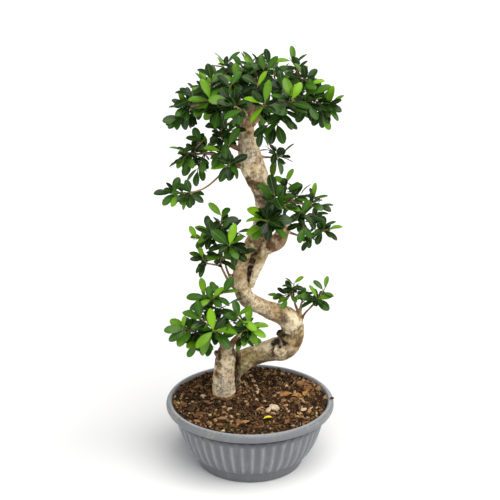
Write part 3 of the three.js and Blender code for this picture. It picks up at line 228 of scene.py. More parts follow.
# Leafy sprays: the limb that carries each, then its shoots as tip, leaf length, young leaves and the
# leaves' angles
SPRAYS = {
    "crown_left_end": ["crown_left",
      [[-109, -20, 652], 30, 1, [100, 172, 200, 218, 238]], [[-93, 6, 639], 26, 0, [250, 275, 300]],
      [[-91, -36, 677], 29, 0, [160, 115, 200, 60]]],
    "crown_left_front": ["crown_left",
      [[-64, -58, 674], 36, 0, [108, 80, 172, 150, 205]], [[-75, -26, 691], 27, 2, [95, 60, 122, 150, 200]],
      [[-61, -30, 706], 29, 0, [150, 100, 60, 200]]],
    "crown_left_low": ["crown_left", [[-52, -38, 650], 31, 0, [262, 292, 330, 215]]],
    "crown_tip_left": ["crown_up_left",
      [[-38, 0, 721], 29, 0, [52, 128, 165, 195, 20]], [[-45, -25, 702], 28, 0, [95, 140, 45, 205, 250]]],
    "crown_inner_left": ["crown_up_left",
      [[-18, -30, 697], 29, 0, [100, 160, 40, 330]], [[-32, -46, 690], 29, 0, [130, 60, 200, 240]]],
    "crown_top": ["crown_middle",
      [[4, -5, 716], 26, 2, [122, 60, 178, 5]], [[29, -18, 711], 29, 0, [60, 100, 150, 340]],
      [[-16, -10, 709], 28, 0, [120, 60, 170, 15]], [[37, -12, 723], 28, 0, [150, 100, 60, 200]]],
    "crown_top_front": ["crown_middle", [[12, -58, 694], 29, 1, [62, 15, 150, 205]]],
    "crown_front_low": ["crown_front", [[23, -98, 677], 36, 3, [78, 160, 228, 345, 285]]],
    "crown_front_left": ["crown_front_left",
      [[-34, -66, 676], 30, 0, [180, 120, 60, 240]], [[-11, -88, 662], 32, 0, [200, 240, 280, 160, 320]]],
    "crown_front_right": ["crown_front_right", [[67, -88, 680], 34, 2, [108, 62, 150, 5, 340]]],
    "crown_under": ["crown_front_right",
      [[56, -66, 644], 32, 0, [170, 210, 300, 340]], [[40, -50, 627], 31, 0, [255, 290, 220, 330]],
      [[20, -46, 623], 29, 0, [250, 290, 215, 320]]],
    "crown_right_mid": ["crown_right",
      [[95, -45, 662], 32, 0, [300, 335, 245, 20, 60]], [[103, -30, 677], 29, 0, [30, 350, 90, 150]]],
    "crown_right_end": ["crown_right", [[117, -14, 657], 31, 1, [60, 85, 10, 318, 303, 250]]],
    "crown_tip_right": ["crown_up_right",
      [[67, -5, 727], 30, 1, [176, 95, 50, 215]], [[75, -2, 712], 30, 0, [170, 190, 285]]],
    "crown_right_up": ["crown_up_right",
      [[88, -12, 700], 26, 3, [115, 55, 355, 175]], [[86, -24, 690], 31, 0, [345, 318, 160]]],
    "crown_right_in": ["crown_up_right",
      [[51, -12, 690], 29, 0, [100, 150, 40, 200]], [[53, -44, 686], 29, 0, [100, 150, 30, 220]]],
    "crown_back_far": ["crown_back",
      [[-7, 104, 644], 32, 0, [90, 150, 30, 210, 330]], [[-5, 66, 674], 29, 1, [80, 140, 20, 180]],
      [[-22, 42, 690], 28, 0, [100, 150, 60, 200]], [[10, 40, 694], 28, 0, [80, 30, 140]]],
    "crown_back_left_end": ["crown_back_left",
      [[-92, 60, 651], 31, 0, [160, 120, 200, 240, 80]], [[-84, 34, 633], 28, 0, [200, 160, 250]]],
    "crown_back_left_mid": ["crown_back_left",
      [[-57, 92, 641], 32, 0, [150, 100, 200, 60]], [[-57, 48, 685], 29, 1, [100, 150, 50, 200]]],
    "crown_back_right_end": ["crown_back_right",
      [[90, 66, 654], 31, 0, [20, 60, 340, 300, 100]], [[78, 36, 632], 28, 0, [340, 20, 290]]],
    "crown_back_right_mid": ["crown_back_right",
      [[48, 98, 640], 32, 0, [30, 80, 340, 120]], [[40, 50, 684], 29, 1, [80, 130, 30, 340]]],
    "crown_back_low": ["crown_back",
      [[-17, 66, 619], 29, 0, [210, 250, 300, 160]], [[14, 52, 616], 28, 0, [300, 340, 250]]],
    "left_tip": ["left_main",
      [[-107, -20, 577], 30, 2, [152, 172, 218, 62, 38]], [[-98, -8, 562], 29, 0, [245, 305, 335]],
      [[-77, -30, 599], 28, 0, [160, 110, 200, 60]]],
    "left_mid": ["left_main",
      [[-77, -2, 556], 30, 0, [150, 205, 245, 20]], [[-88, 2, 539], 28, 0, [262, 228, 292]],
      [[-74, 8, 579], 28, 0, [150, 110, 30, 190]]],
    "left_front": ["left_main", [[-34, -50, 561], 32, 1, [182, 102, 30, 238, 265, 300]]],
    "left_upper": ["left_high",
      [[-53, -8, 609], 23, 0, [130, 60, 185, 215, 350]], [[-34, -42, 593], 32, 0, [62, 30, 270, 200]],
      [[-46, -22, 624], 27, 0, [180, 100, 40, 230]], [[-26, -28, 618], 29, 0, [200, 150, 60, 280]]],
    "left_centre": ["left_main", [[-47, -44, 585], 29, 1, [165, 240, 280, 60]]],
    "left_low_mid": ["left_low", [[-101, -36, 505], 28, 1, [238, 268, 325, 18, 118, 142]]],
    "left_low_end": ["left_low", [[-133, -30, 509], 28, 0, [174, 72, 212, 250, 285]]],
    "right_twig_end": ["right_twig",
      [[52, 10, 562], 30, 0, [48, 18, 125, 250, 290]], [[30, 14, 576], 26, 0, [100, 150, 260, 50]]],
    "right_front": ["right_front", [[30, -66, 473], 40, 3, [170, 142, 208, 58, 10, 325, 285, 232]]],
    "right_high_tip": ["right_high", [[60, -26, 526], 27, 1, [70, 128, 22, 5, 335, 165]]],
    "right_high_near": ["right_high",
      [[40, -50, 514], 36, 0, [102, 140, 300, 245, 20]], [[60, -54, 491], 31, 0, [150, 200, 345, 90]]],
    "right_high_mid": ["right_high",
      [[70, -36, 503], 27, 0, [60, 150, 330, 200]], [[85, 18, 490], 29, 0, [60, 120, 0, 200]]],
    "right_high_end": ["right_high",
      [[108, -20, 501], 25, 1, [88, 25, 178, 335, 230]], [[118, -8, 480], 26, 0, [10, 335, 215]]],
    "right_mid": ["right_low",
      [[102, -30, 472], 28, 0, [345, 300, 160, 240, 70]], [[85, -48, 484], 28, 1, [155, 215, 320, 60]],
      [[90, -48, 454], 27, 0, [250, 300, 200]]],
    "right_back_in": ["right_low", [[55, 24, 456], 29, 0, [110, 160, 60, 200]]],
    "right_back_out": ["right_arm", [[108, 16, 456], 28, 0, [20, 330, 80]]],
    "right_arm_end": ["right_arm",
      [[132, -25, 445], 27, 1, [14, 325, 195, 85, 245]], [[116, -18, 457], 25, 0, [150, 100, 30, 215]]],
    "right_arm_low": ["right_arm", [[100, -26, 425], 24, 0, [232, 275, 55]]],
    "mid_top": ["mid_high", [[-47, -30, 470], 30, 1, [132, 62, 8, 222, 175, 295]]],
    "mid_front": ["mid_high",
      [[-34, -58, 426], 36, 2, [78, 42, 138, 188, 345, 305]], [[-18, -44, 404], 30, 0, [25, 320, 280]]],
    "mid_left_tip": ["mid_high",
      [[-91, -25, 427], 27, 1, [118, 38, 188, 232, 320]], [[-70, 0, 434], 28, 0, [100, 150, 60, 205]],
      [[-62, -44, 440], 28, 0, [150, 200, 100, 250]]],
    "mid_low_end": ["mid_left", [[-80, -30, 395], 27, 1, [108, 148, 222, 245, 40]]],
    "mid_low_front": ["mid_low", [[-47, -38, 400], 30, 0, [185, 10, 150, 330]]],
    "mid_back": ["mid_high",
      [[-49, 34, 420], 29, 0, [110, 150, 60, 190]], [[-22, 16, 424], 28, 0, [18, 350, 60, 120]]],
    "bend_top": ["bend_left",
      [[78, 45, 322], 22, 1, [38, 132, 165, 5]], [[55, 36, 297], 25, 0, [160, 190, 48, 330, 100]],
      [[65, 24, 298], 21, 0, [238, 200]]],
    "bend_mid": ["bend_middle", [[102, 48, 304], 24, 0, [150, 200, 330, 90]]],
    "bend_end": ["bend_right",
      [[133, 42, 313], 23, 1, [78, 128, 345, 215]], [[118, 26, 300], 28, 1, [112, 318, 20, 158, 195]]],
    "base_top": ["base_main",
      [[-79, -25, 327], 33, 0, [97, 42, 170, 200, 228]], [[-64, -40, 326], 27, 2, [48, 205, 100]],
      [[-45, -36, 334], 30, 0, [60, 20, 120, 330]]],
    "base_mid_up": ["base_main", [[-42, -8, 299], 36, 0, [30, 320, 180, 350]]],
    "base_front": ["base_front",
      [[-62, -78, 281], 42, 3, [98, 2, 222, 318, 238, 155]], [[-85, -52, 294], 35, 0, [100, 150, 200, 260]]],
    "base_left_end": ["base_left", [[-115, -46, 273], 34, 1, [84, 178, 212, 150, 232]]],
    "base_left_low": ["base_left",
      [[-92, -30, 235], 31, 0, [232, 205, 180, 320]], [[-65, -26, 231], 26, 0, [240, 210, 300]]],
    "base_right_end": ["base_right",
      [[-1, -42, 276], 36, 5, [93, 5, 332, 255, 300]], [[-28, -34, 270], 33, 0, [160, 30, 205, 60]],
      [[-24, -46, 295], 29, 0, [40, 100, 160, 330]]],
    "base_near": ["base_right", [[-8, -14, 236], 28, 0, [0, 330, 250]]],
    "base_back": ["base_main",
      [[-78, 22, 276], 33, 0, [100, 150, 50, 200]], [[-102, 14, 252], 31, 0, [170, 210, 120]],
      [[-43, 18, 243], 30, 0, [150, 80, 30]]],
}

# Tries for a leaf: turn and lean in degrees, and share of its length
TRIES = [
    [0, 0, 1], [0, 13, 1], [0, -13, 1], [8, 5, 1], [-8, 5, 1], [8, -9, 0.97], [-8, -9, 0.97],
    [0, 26, 0.95], [0, -26, 0.95], [16, 10, 0.93], [-16, 10, 0.93], [16, -18, 0.9], [-16, -18, 0.9],
    [0, 40, 0.88], [0, -40, 0.88], [12, 32, 0.86], [-12, 32, 0.86], [26, 0, 0.84], [-26, 0, 0.84],
    [26, 26, 0.8], [-26, 26, 0.8], [20, -36, 0.78], [-20, -36, 0.78], [0, 55, 0.72], [0, -55, 0.72],
]

# How the twigs and leaves grow, as in the part's source
VIEW_TILT = math.radians(19)
FIRST_LEAF = 0.8
LEAF_STEP = 3.4
SIDE_START = 0.3
TWIG_STEPS = 60
TWIG_LOWEST = 0.1
TWIG_LEAD = 0.35
TWIG_RISE = 0.06
# Depth from which shoots turn to the back, on the bend at the right and elsewhere, and the depth of that turn
BEND_MIDDLE = 60
CROWN_MIDDLE = 10
TURN_DEPTH = 40
# Leaves in degrees: their lean to the front, the spread of lean and of roll; then least and spread of length and arch
LEAF_LEAN = 12
LEAF_LEAN_SPREAD = 26
LEAF_ROLL_SPREAD = 56
LEAF_LENGTH = (0.9, 0.2)
LEAF_ARCH = (0.1, 0.16)
# Where a shoot that only the scene has leaves its twig, the step between its spare leaves, and the tries for each
SPARE_START = 0.6
SPARE_STEP = 2.4
SPARE_TRIES = 9
GOLDEN_ANGLE = math.radians(137.5)
# How near a leaf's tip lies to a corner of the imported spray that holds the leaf
MATCH_MM = 0.06
# Cells that keep leaves apart, and how clear a leaf stays of the wood and the CAD box
LEAF_CELL = 3.2
LEAF_CLEAR = 1.5
# Places on a blade that are kept clear: share of its length with share of its half width, and places across
SAMPLE_ROWS = ((0.3, 1), (0.45, 1), (0.6, 1), (0.75, 1), (0.9, 0.7), (1.0, 0))
SAMPLE_ACROSS = (-0.9, -0.3, 0.3, 0.9)
SAMPLE_HALF = 0.24
# Age of a leaf, from 0 to 1 with its lightness: between two ends for young ones, else the most and a power
YOUNG_AGE = (0.66, 1.0)
GROWN_AGE = (0.75, 2.2)
# Spare leaves are drawn darker than grown ones: partly older leaves, partly painted shade deep in the crown
SPARE_AGE_AND_SHADE = (0.45, 2.4)
# How much darker each spare leaf is than the one before it, as older and in painted shade further back from the tip,
# and how much of its spray's light it gets
SPARE_OLDER_AND_SHADED = 0.06
SPARE_LIGHT = 0.8
# Ends between which the length, share of the shoot's leaves, and the arch of spare leaves are drawn
SPARE_LENGTH = (0.6, 0.96)
SPARE_ARCH = (0.08, 0.26)
BUD_LENGTH = (5, 8)
BUD_AGE = (0.6, 0.9)
BUD_WIDTH = 0.34
# Ends between which the fold and width of young, grown and spare leaves are drawn
YOUNG_FORM = {"fold": (0.2, 0.5), "width": (0.74, 0.92)}
GROWN_FORM = {"fold": (0.08, 0.36), "width": (0.88, 1.1)}
SPARE_FORM = {"fold": (0.08, 0.3), "width": (0.9, 1.08)}

# Wood in the scene: radii of the twigs, sides of the tubes, steps along them and for the room of the leaves
MAIN_THICK = 1.8
SIDE_THICK = 1.4
TIP_THICK = 0.8
TRUNK_SIDES = 28
LIMB_SIDES = 16
TWIG_SIDES = 8
PATH_STEP = 3
WOOD_STEP = 4
# Radius from which a limb fuses with the trunk, and rounds of smoothing for the fused mesh
FUSED_RADIUS = 3.4
SMOOTH_ROUNDS = 4
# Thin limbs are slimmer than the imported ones: the least share, and the radii between which it grows to 1
SLIM_SHARE = 0.68
SLIM_RADII = (2.2, 5)
# How drips on the bowl's wall are stretched down it
DRIP_STRETCH = (1.0, 1.0, 0.16)
# How the bark's streaks and rings are stretched, round and along the wood
BARK_STRETCH = ((230.0, 230.0, 40.0), (30.0, 30.0, 210.0))
# Points whose place on the wood is looked up in one go
FLOW_BATCH = 4000

# A leaf blade: shares of its length where its rows lie, and the places across it
BLADE_ROWS = (0, 0.1, 0.24, 0.43, 0.63, 0.82, 0.95, 1)
BLADE_ACROSS = (-1, -0.52, 0, 0.52, 1)
PETIOLE_SHARE = 0.1
BLADE_HALF = 0.236
BLADE_THICK = 0.32
PETIOLE_HALF = 0.028
# Powers that shape the egg of a blade at its stalk and at its tip, and its largest half width
EGG_START = 0.84
EGG_END = 0.58
EGG_PEAK = ((EGG_START / (EGG_START + EGG_END)) ** EGG_START * (EGG_END / (EGG_START + EGG_END)) ** EGG_END)
# Length and half thickness of the flat blade in metres before it is bent, and the wave of a fallen leaf's margin
FLAT_LENGTH = 0.01
FLAT_LIFT = 0.0003
FALLEN_WAVE = 0.12

# Leaf pieces: name, then the starts of the names of the sprays that it stands for
LEAF_PIECES = {
    "leaves_crown_back": ("crown_back",),
    "leaves_crown_left": ("crown_left", "crown_tip_left", "crown_inner_left"),
    "leaves_crown_middle": ("crown_top", "crown_front", "crown_under"),
    "leaves_crown_right": ("crown_right", "crown_tip_right"),
    "leaves_left": ("left_",),
    "leaves_right": ("right_",),
    "leaves_middle": ("mid_",),
    "leaves_bend": ("bend_",),
    "leaves_base": ("base_",),
}
# Shoots that only the scene has: spray, then tip, leaf length, young leaves and the leaves' angles
SPARE_SHOOTS = {
    "crown_left_end": [[(-106, -26, 632), 34, 0, (180, 200, 218, 238, 266)]],
    "crown_right_end": [[(132, -26, 652), 33, 2, (40, 82, 318, 345, 292)], [(118, -30, 640), 29, 0, (300, 270, 240)]],
    "crown_right_up": [[(96, -24, 690), 28, 1, (20, 60, 100, 340)]],
    "crown_top": [[(8, 18, 716), 29, 0, (60, 120, 160, 20)], [(-20, 8, 712), 28, 0, (100, 150, 40)],
                  [(-4, 34, 706), 28, 0, (100, 60, 140, 30)], [(24, 36, 702), 28, 1, (60, 20, 110, 340)]],
    "crown_back_far": [[(-8, 26, 706), 30, 0, (60, 120, 20, 160)], [(-32, 66, 684), 29, 0, (90, 150, 200, 40)],
                       [(16, 82, 676), 29, 0, (80, 20, 140, 320)], [(-24, 46, 696), 28, 0, (110, 160, 70, 30)],
                       [(8, 54, 694), 28, 0, (80, 130, 40, 20)]],
    "crown_back_left_mid": [[(-66, 68, 668), 29, 0, (90, 150, 200, 40)], [(-42, 26, 700), 29, 1, (100, 150, 60, 20)],
                            [(-74, 22, 680), 28, 0, (120, 170, 80, 220)], [(-54, 44, 688), 28, 0, (110, 160, 60, 200)]],
    "crown_back_right_mid": [[(62, 62, 672), 29, 0, (80, 30, 340, 130)], [(38, 20, 706), 29, 0, (80, 30, 140, 170)],
                             [(70, 22, 694), 28, 1, (60, 20, 100, 330)], [(52, 42, 692), 28, 0, (70, 20, 120, 340)]],
    "crown_back_left_end": [[(-84, 84, 638), 29, 0, (150, 200, 110, 240)]],
    "crown_back_right_end": [[(86, 90, 640), 29, 0, (30, 340, 80, 300)]],
    "left_tip": [[(-112, -26, 565), 27, 0, (200, 235, 262, 290)]],
}
# Sprays whose leaves are lighter than the others, and by how much
LIGHT_SPRAYS = {"base_": 0.28, "bend_": 0.1, "left_low": 0.1, "mid_low": 0.05}

# Patches of another colour on the bark, stains and, in the slit by the stub and the cleft between the strands, painted
# shade: x, y, z, radius, colour, strength
BARK_STAINS_AND_SHADE = [
    (-46, -10, 150, 24, (0.86, 0.76, 0.60), 0.7),
    (-45, -14, 126, 20, (0.84, 0.72, 0.54), 0.8),
    (-44, -8, 110, 11, (0.33, 0.13, 0.036), 0.85),
    (-60, 2, 190, 13, (0.13, 0.062, 0.028), 0.9),
    (-58, -4, 170, 9, (0.15, 0.075, 0.034), 0.8),
    (-36, -8, 168, 9, (0.80, 0.60, 0.38), 0.8),
    (-58, -2, 204, 10, (0.11, 0.058, 0.028), 0.9),
    (-48, 0, 212, 9, (0.20, 0.12, 0.06), 0.6),
    # Dark brown of the bark flap, deepened with painted shade in the slit between the stub and the trunk
    (-27, 6, 206, 14, (0.075, 0.038, 0.02), 0.95),
    (-25, 18, 190, 15, (0.075, 0.036, 0.018), 0.95),
    (-24, 20, 172, 15, (0.060, 0.027, 0.012), 1.0),
    (-25, 20, 152, 15, (0.065, 0.029, 0.013), 1.0),
    (-26, 20, 134, 14, (0.070, 0.031, 0.014), 1.0),
    (-26, 22, 120, 13, (0.12, 0.055, 0.026), 0.9),
    (-14, 36, 160, 20, (0.40, 0.40, 0.15), 0.6),
    (4, 38, 182, 20, (0.52, 0.50, 0.22), 0.55),
    (18, 46, 165, 15, (0.24, 0.19, 0.08), 0.7),
    (30, 42, 176, 18, (0.34, 0.29, 0.13), 0.6),
    (54, 20, 197, 14, (0.62, 0.46, 0.30), 0.85),
    (42, 40, 182, 6, (0.09, 0.05, 0.026), 0.7),
    (72, 34, 181, 8, (0.20, 0.15, 0.06), 0.7),
    (54, 40, 228, 21, (0.014, 0.009, 0.006), 1.0),
    (48, 44, 207, 15, (0.018, 0.011, 0.007), 1.0),
    (62, 34, 213, 9, (0.02, 0.012, 0.008), 0.95),
    (78, 34, 190, 14, (0.34, 0.27, 0.12), 0.5),
    (92, 32, 214, 15, (0.14, 0.078, 0.036), 0.75),
    (82, 24, 224, 12, (0.26, 0.19, 0.075), 0.7),
    (90, 28, 238, 11, (0.24, 0.18, 0.07), 0.65),
    (60, 22, 262, 12, (0.085, 0.05, 0.028), 0.75),
    (48, 20, 250, 10, (0.13, 0.08, 0.045), 0.6),
    (30, 14, 278, 15, (0.86, 0.74, 0.52), 0.55),
    (-4, -2, 300, 14, (0.84, 0.70, 0.50), 0.5),
    (-16, -10, 318, 10, (0.17, 0.10, 0.055), 0.55),
    # Painted shade in the cleft between the front strand and the trunk
    (0, -3, 345, 6, (0.06, 0.032, 0.018), 0.9),
    (0, -2, 355, 7, (0.04, 0.022, 0.013), 1.0),
    (2, 0, 367, 9, (0.034, 0.017, 0.010), 1.0),
    (4, 0, 380, 9, (0.036, 0.018, 0.010), 1.0),
    (8, -2, 393, 9, (0.05, 0.025, 0.014), 1.0),
    (12, -5, 406, 8, (0.06, 0.034, 0.02), 0.9),
    (14, -14, 392, 13, (0.42, 0.40, 0.18), 0.55),
    (16, -16, 420, 15, (0.34, 0.22, 0.10), 0.8),
    (28, -20, 434, 16, (0.15, 0.075, 0.036), 0.95),
    (36, -18, 412, 13, (0.20, 0.105, 0.05), 0.9),
    (50, -16, 428, 14, (0.22, 0.11, 0.055), 0.85),
    (16, -26, 466, 15, (0.15, 0.09, 0.05), 0.75),
    (30, -24, 486, 14, (0.12, 0.075, 0.042), 0.75),
    (8, -26, 500, 12, (0.10, 0.06, 0.034), 0.75),
    (18, -28, 516, 13, (0.30, 0.26, 0.12), 0.65),
    (-6, -24, 526, 14, (0.10, 0.058, 0.032), 0.85),
    (8, -28, 524, 13, (0.13, 0.08, 0.04), 0.85),
    (-12, -14, 500, 14, (0.15, 0.11, 0.05), 0.7),
    (22, -22, 500, 12, (0.12, 0.075, 0.04), 0.8),
    (6, -28, 540, 8, (0.22, 0.14, 0.08), 0.5),
    (10, -28, 562, 5, (0.20, 0.11, 0.055), 0.9),
    (2, -26, 572, 16, (0.95, 0.86, 0.68), 0.75),
    (-3, -22, 592, 13, (0.92, 0.80, 0.60), 0.6),
    (-3, -16, 606, 8, (0.30, 0.18, 0.09), 0.6),
]

# Bark that webs the low right limb to the trunk, as the limbs
LIMB_WEB = [[28, -9, 402, 11], [42, -12, 420, 9], [50, -14, 434, 7.5], [58, -16, 446, 6]]

# Crease round the pruned knot: x, y, z, radius, width
KNOT_CREASE = (54, 36, 197, 16, 4)

# Colours that no setting holds: of the bowl
# Painted shade in the middle of each flute's hollow
FLUTE_SHADE = (0.080, 0.086, 0.094)
# Lighter ridges between the flutes: partly wear, partly a painted highlight
RIDGE_WEAR_AND_HIGHLIGHT = (0.40, 0.43, 0.46)
FADED_PLASTIC = (0.115, 0.125, 0.135)
# Painted shade under the rim's lip, also laid lightly over the foot as a plain darkening
NECK_SHADE = (0.045, 0.046, 0.048)
DRIED_DRIPS = (0.30, 0.30, 0.29)
# Lighter edges of the rim: partly rubbing, partly a painted highlight
RIM_EDGE_WEAR_AND_HIGHLIGHT = (0.40, 0.42, 0.44)
# Of the soil
PALE_CRUMBS = (0.42, 0.33, 0.22)
CRUMB_PORES = (0.02, 0.012, 0.008)
# Of the wood
BARE_BARK = (0.5, 0.4, 0.26)
DULL_BARK = (0.20, 0.125, 0.058)
BARK_INK = (0.165, 0.084, 0.036)
# Painted shade in the bark's dips, in the knot's crease and on the wood's undersides
BARK_CREASE_SHADE = (0.065, 0.036, 0.020)
PALE_TWIGS = (0.34, 0.225, 0.125)
TWIG_SPECKS = (0.05, 0.032, 0.02)
# Of the leaves
# Green that only spare leaves far back on their twigs reach: painted shade
DARKEST_SHADED_LEAVES = (0.0045, 0.012, 0.003)
LIT_LEAVES = (0.050, 0.115, 0.014)
LEAF_VEINS = (0.30, 0.44, 0.09)
LEAF_MARGIN = (0.018, 0.075, 0.010)
LEAF_STALK = (0.16, 0.22, 0.045)
DRY_BROWN = (0.20, 0.080, 0.024)
DRY_TAN = (0.56, 0.26, 0.055)
DRY_YELLOW = (0.72, 0.66, 0.02)
DRY_BLOTCHES = (0.08, 0.035, 0.014)
DRY_RIB = (0.50, 0.34, 0.14)

# Stage, in metres and degrees; the sky's light grows to that of the surroundings between two heights
FLOOR_HALF = 20
FLOOR_CLOUDS = (0.90, 0.90, 0.90)
SKY_BAND = (0.1, 0.4)
CAMERA_PLACE = (0, -2.0, 1.087)
CAMERA_ANGLE = 71.02
CAMERA_CLIP = (0.05, 60)
SENSOR_WIDTH = 36
# Lights: name, place that they shine from, width, setting of their strength and share of it, colour
LIGHTS = (
    ("key_above", (0.5, -0.85, 1.95), 56, "key", 1.0, (1.0, 0.99, 0.97)),
    ("fill_left", (-1.6, -1.0, 1.0), 46, "side", 0.9, (0.96, 0.98, 1.0)),
    ("edge_right", (2.0, 0.1, 0.6), 30, "side", 1.35, (1.0, 1.0, 1.0)),
)


class BowlSizes(bpy.types.PropertyGroup):
    """Sizes and colours of the moulded bowl."""

    flutes: IntProperty(name="Flutes", description="Hollow flutes round the wall", default=45, min=3)
    flute_depth: FloatProperty(
        name="Flute depth", description="How deep each flute is hollowed", default=0.0030, unit="LENGTH")
    colour: FloatVectorProperty(
        name="Plastic", description="Colour of the moulded plastic", subtype="COLOR", size=3,
        default=(0.146, 0.156, 0.168))
    rim_colour: FloatVectorProperty(
        name="Rim", description="Colour of the handled, faded rim", subtype="COLOR", size=3,
        default=(0.160, 0.170, 0.180))
    scuff_colour: FloatVectorProperty(
        name="Scuffs", description="Dried soil and scuffs on the rim", subtype="COLOR", size=3,
        default=(0.34, 0.29, 0.23))


class SoilSizes(bpy.types.PropertyGroup):
    """Relief, crumbs and colours of the potting soil."""

    relief: FloatProperty(
        name="Relief", description="Height of the soil's bumps", default=0.0024, unit="LENGTH")
    fine_density: FloatProperty(
        name="Fine crumbs", description="Fine crumbs on a square metre of soil", default=48000, min=0)
    crumb_density: FloatProperty(
        name="Crumbs", description="Coarse crumbs on a square metre of soil", default=40000, min=0)
    chip_density: FloatProperty(
        name="Bark chips", description="Bark chips on a square metre of soil", default=4400, min=0)
    grit_density: FloatProperty(
        name="Grit", description="Grains of white grit on a square metre of soil", default=3600, min=0)
    moss_density: FloatProperty(
        name="Moss", description="Moss shoots on a square metre where moss grows", default=420000, min=0)
    dark: FloatVectorProperty(
        name="Peat", description="Darkest soil colour", subtype="COLOR", size=3, default=(0.013, 0.007, 0.0035))
    brown: FloatVectorProperty(
        name="Bark mix", description="Common soil colour", subtype="COLOR", size=3,
        default=(0.118, 0.058, 0.022))
    orange: FloatVectorProperty(
        name="Fresh bark", description="Fresh bark in the soil", subtype="COLOR", size=3, default=(0.33, 0.135, 0.042))


class BarkSizes(bpy.types.PropertyGroup):
    """Relief and colours of the bark."""

    voxel: FloatProperty(
        name="Voxel", description="Grain of the fused trunk mesh", default=0.0014, unit="LENGTH")
    relief: FloatProperty(
        name="Relief", description="Height of the bark's bumps", default=0.0011, unit="LENGTH")
    tan: FloatVectorProperty(
        name="Tan", description="Common bark colour", subtype="COLOR", size=3, default=(0.62, 0.42, 0.20))
    cream: FloatVectorProperty(
        name="Cream", description="Palest bark colour", subtype="COLOR", size=3, default=(0.95, 0.80, 0.54))
    brown: FloatVectorProperty(
        name="Brown", description="Creases and specks", subtype="COLOR", size=3, default=(0.055, 0.030, 0.016))
    twig: FloatVectorProperty(
        name="Twigs", description="Bark of the thin twigs", subtype="COLOR", size=3, default=(0.18, 0.085, 0.045))


class LeafSizes(bpy.types.PropertyGroup):
    """Spare leaves and colours of the foliage."""

    spare: FloatProperty(
        name="Spare leaves", description="Leaves added behind each shoot's own, as a share of them",
        default=1.9, min=0)
    seed: IntProperty(name="Seed", description="Seed of the spare leaves", default=7)
    old: FloatVectorProperty(
        name="Old leaves", description="Glossy deep green", subtype="COLOR", size=3,
        default=(0.007, 0.023, 0.0035))
    ripe: FloatVectorProperty(
        name="Grown leaves", description="Middle green", subtype="COLOR", size=3,
        default=(0.038, 0.132, 0.008))
    young: FloatVectorProperty(
        name="Young leaves", description="Yellow green of new leaves", subtype="COLOR", size=3,
        default=(0.200, 0.430, 0.006))
    under: FloatVectorProperty(
        name="Undersides", description="Paler green of the undersides", subtype="COLOR", size=3,
        default=(0.050, 0.105, 0.026))


class StageSettings(bpy.types.PropertyGroup):
    """Floor, lights and camera."""

    floor: FloatVectorProperty(
        name="Floor", description="Pale floor", subtype="COLOR", size=3, default=(0.92, 0.92, 0.92))
    sky: FloatProperty(name="Sky", description="Strength of the light from overhead", default=0.22)
    horizon: FloatProperty(name="Surroundings", description="Strength of the white surroundings", default=1.0)
    key: FloatProperty(name="Key light", description="Strength of the broad light above", default=3.0)
    side: FloatProperty(name="Side lights", description="Strength of the two broad lights at the sides", default=0.6)
    lens: FloatProperty(name="Lens", description="Focal length in millimetres", default=88.63)


SETTINGS = {
    "bonsai_bowl": BowlSizes,
    "bonsai_soil": SoilSizes,
    "bonsai_bark": BarkSizes,
    "bonsai_leaves": LeafSizes,
    "bonsai_stage": StageSettings,
}


# Node helpers

class Nodes:
    """Adds nodes to a tree; a value may be a number, a vector, a colour or another node's output."""

    def __init__(self, tree):
        self.tree = tree

    def fill(self, socket, value):
        if isinstance(value, bpy.types.NodeSocket):
            self.tree.links.new(value, socket)
        else:
            socket.default_value = value

    def add(self, kind, inputs=None, **settings):
        """A new node; inputs maps its sockets' names or indices to values."""
        made = self.tree.nodes.new(kind)
        for key, value in settings.items():
            setattr(made, key, value)
        for key, value in (inputs or {}).items():
            self.fill(made.inputs[key], value)
        return made

    def maths(self, operation, a, b=0.0, clamp=False):
        return self.add("ShaderNodeMath", {0: a, 1: b}, operation=operation, use_clamp=clamp).outputs[0]

    def times(self, product, *others):
        for other in others:
            product = self.maths("MULTIPLY", product, other)
        return product

    def plus(self, a, b):
        return self.maths("ADD", a, b)

    def larger(self, a, b):
        return self.maths("MAXIMUM", a, b)

    def vectors(self, operation, a, b=(0.0, 0.0, 0.0)):
        return self.add("ShaderNodeVectorMath", {0: a, 1: b}, operation=operation).outputs[0]

    def scaled(self, vector, scale):
        return self.add("ShaderNodeVectorMath", {0: vector, "Scale": scale}, operation="SCALE").outputs[0]

    def parts(self, vector):
        """The three numbers of a vector."""
        return self.add("ShaderNodeSeparateXYZ", {0: vector}).outputs

    def mix(self, share, a, b):
        """A colour between two colours."""
        a, b = (value if isinstance(value, bpy.types.NodeSocket) else (*tuple(value)[:3], 1) for value in (a, b))
        return self.add("ShaderNodeMix", {0: share, 6: a, 7: b}, data_type="RGBA").outputs[2]

    def band(self, value, low, high, to_low=0.0, to_high=1.0):
        """A value taken from low..high to to_low..to_high, smoothly and held at both ends."""
        inputs = {0: value, 1: low, 2: high, 3: to_low, 4: to_high}
        return self.add("ShaderNodeMapRange", inputs, interpolation_type="SMOOTHSTEP").outputs[0]

    def cloud(self, place, scale, detail=3.0, roughness=0.55):
        inputs = {"Vector": place, "Scale": scale, "Detail": detail, "Roughness": roughness}
        return self.add("ShaderNodeTexNoise", inputs).outputs[0]

    def fine_lines(self, value, width):
        """Thin lines where a cloud passes its middle."""
        return self.band(self.maths("ABSOLUTE", self.maths("SUBTRACT", value, 0.5)), 0.0, width, 1.0, 0.0)

    def attribute(self, name, output="Fac"):
        return self.add("ShaderNodeAttribute", attribute_name=name).outputs[output]


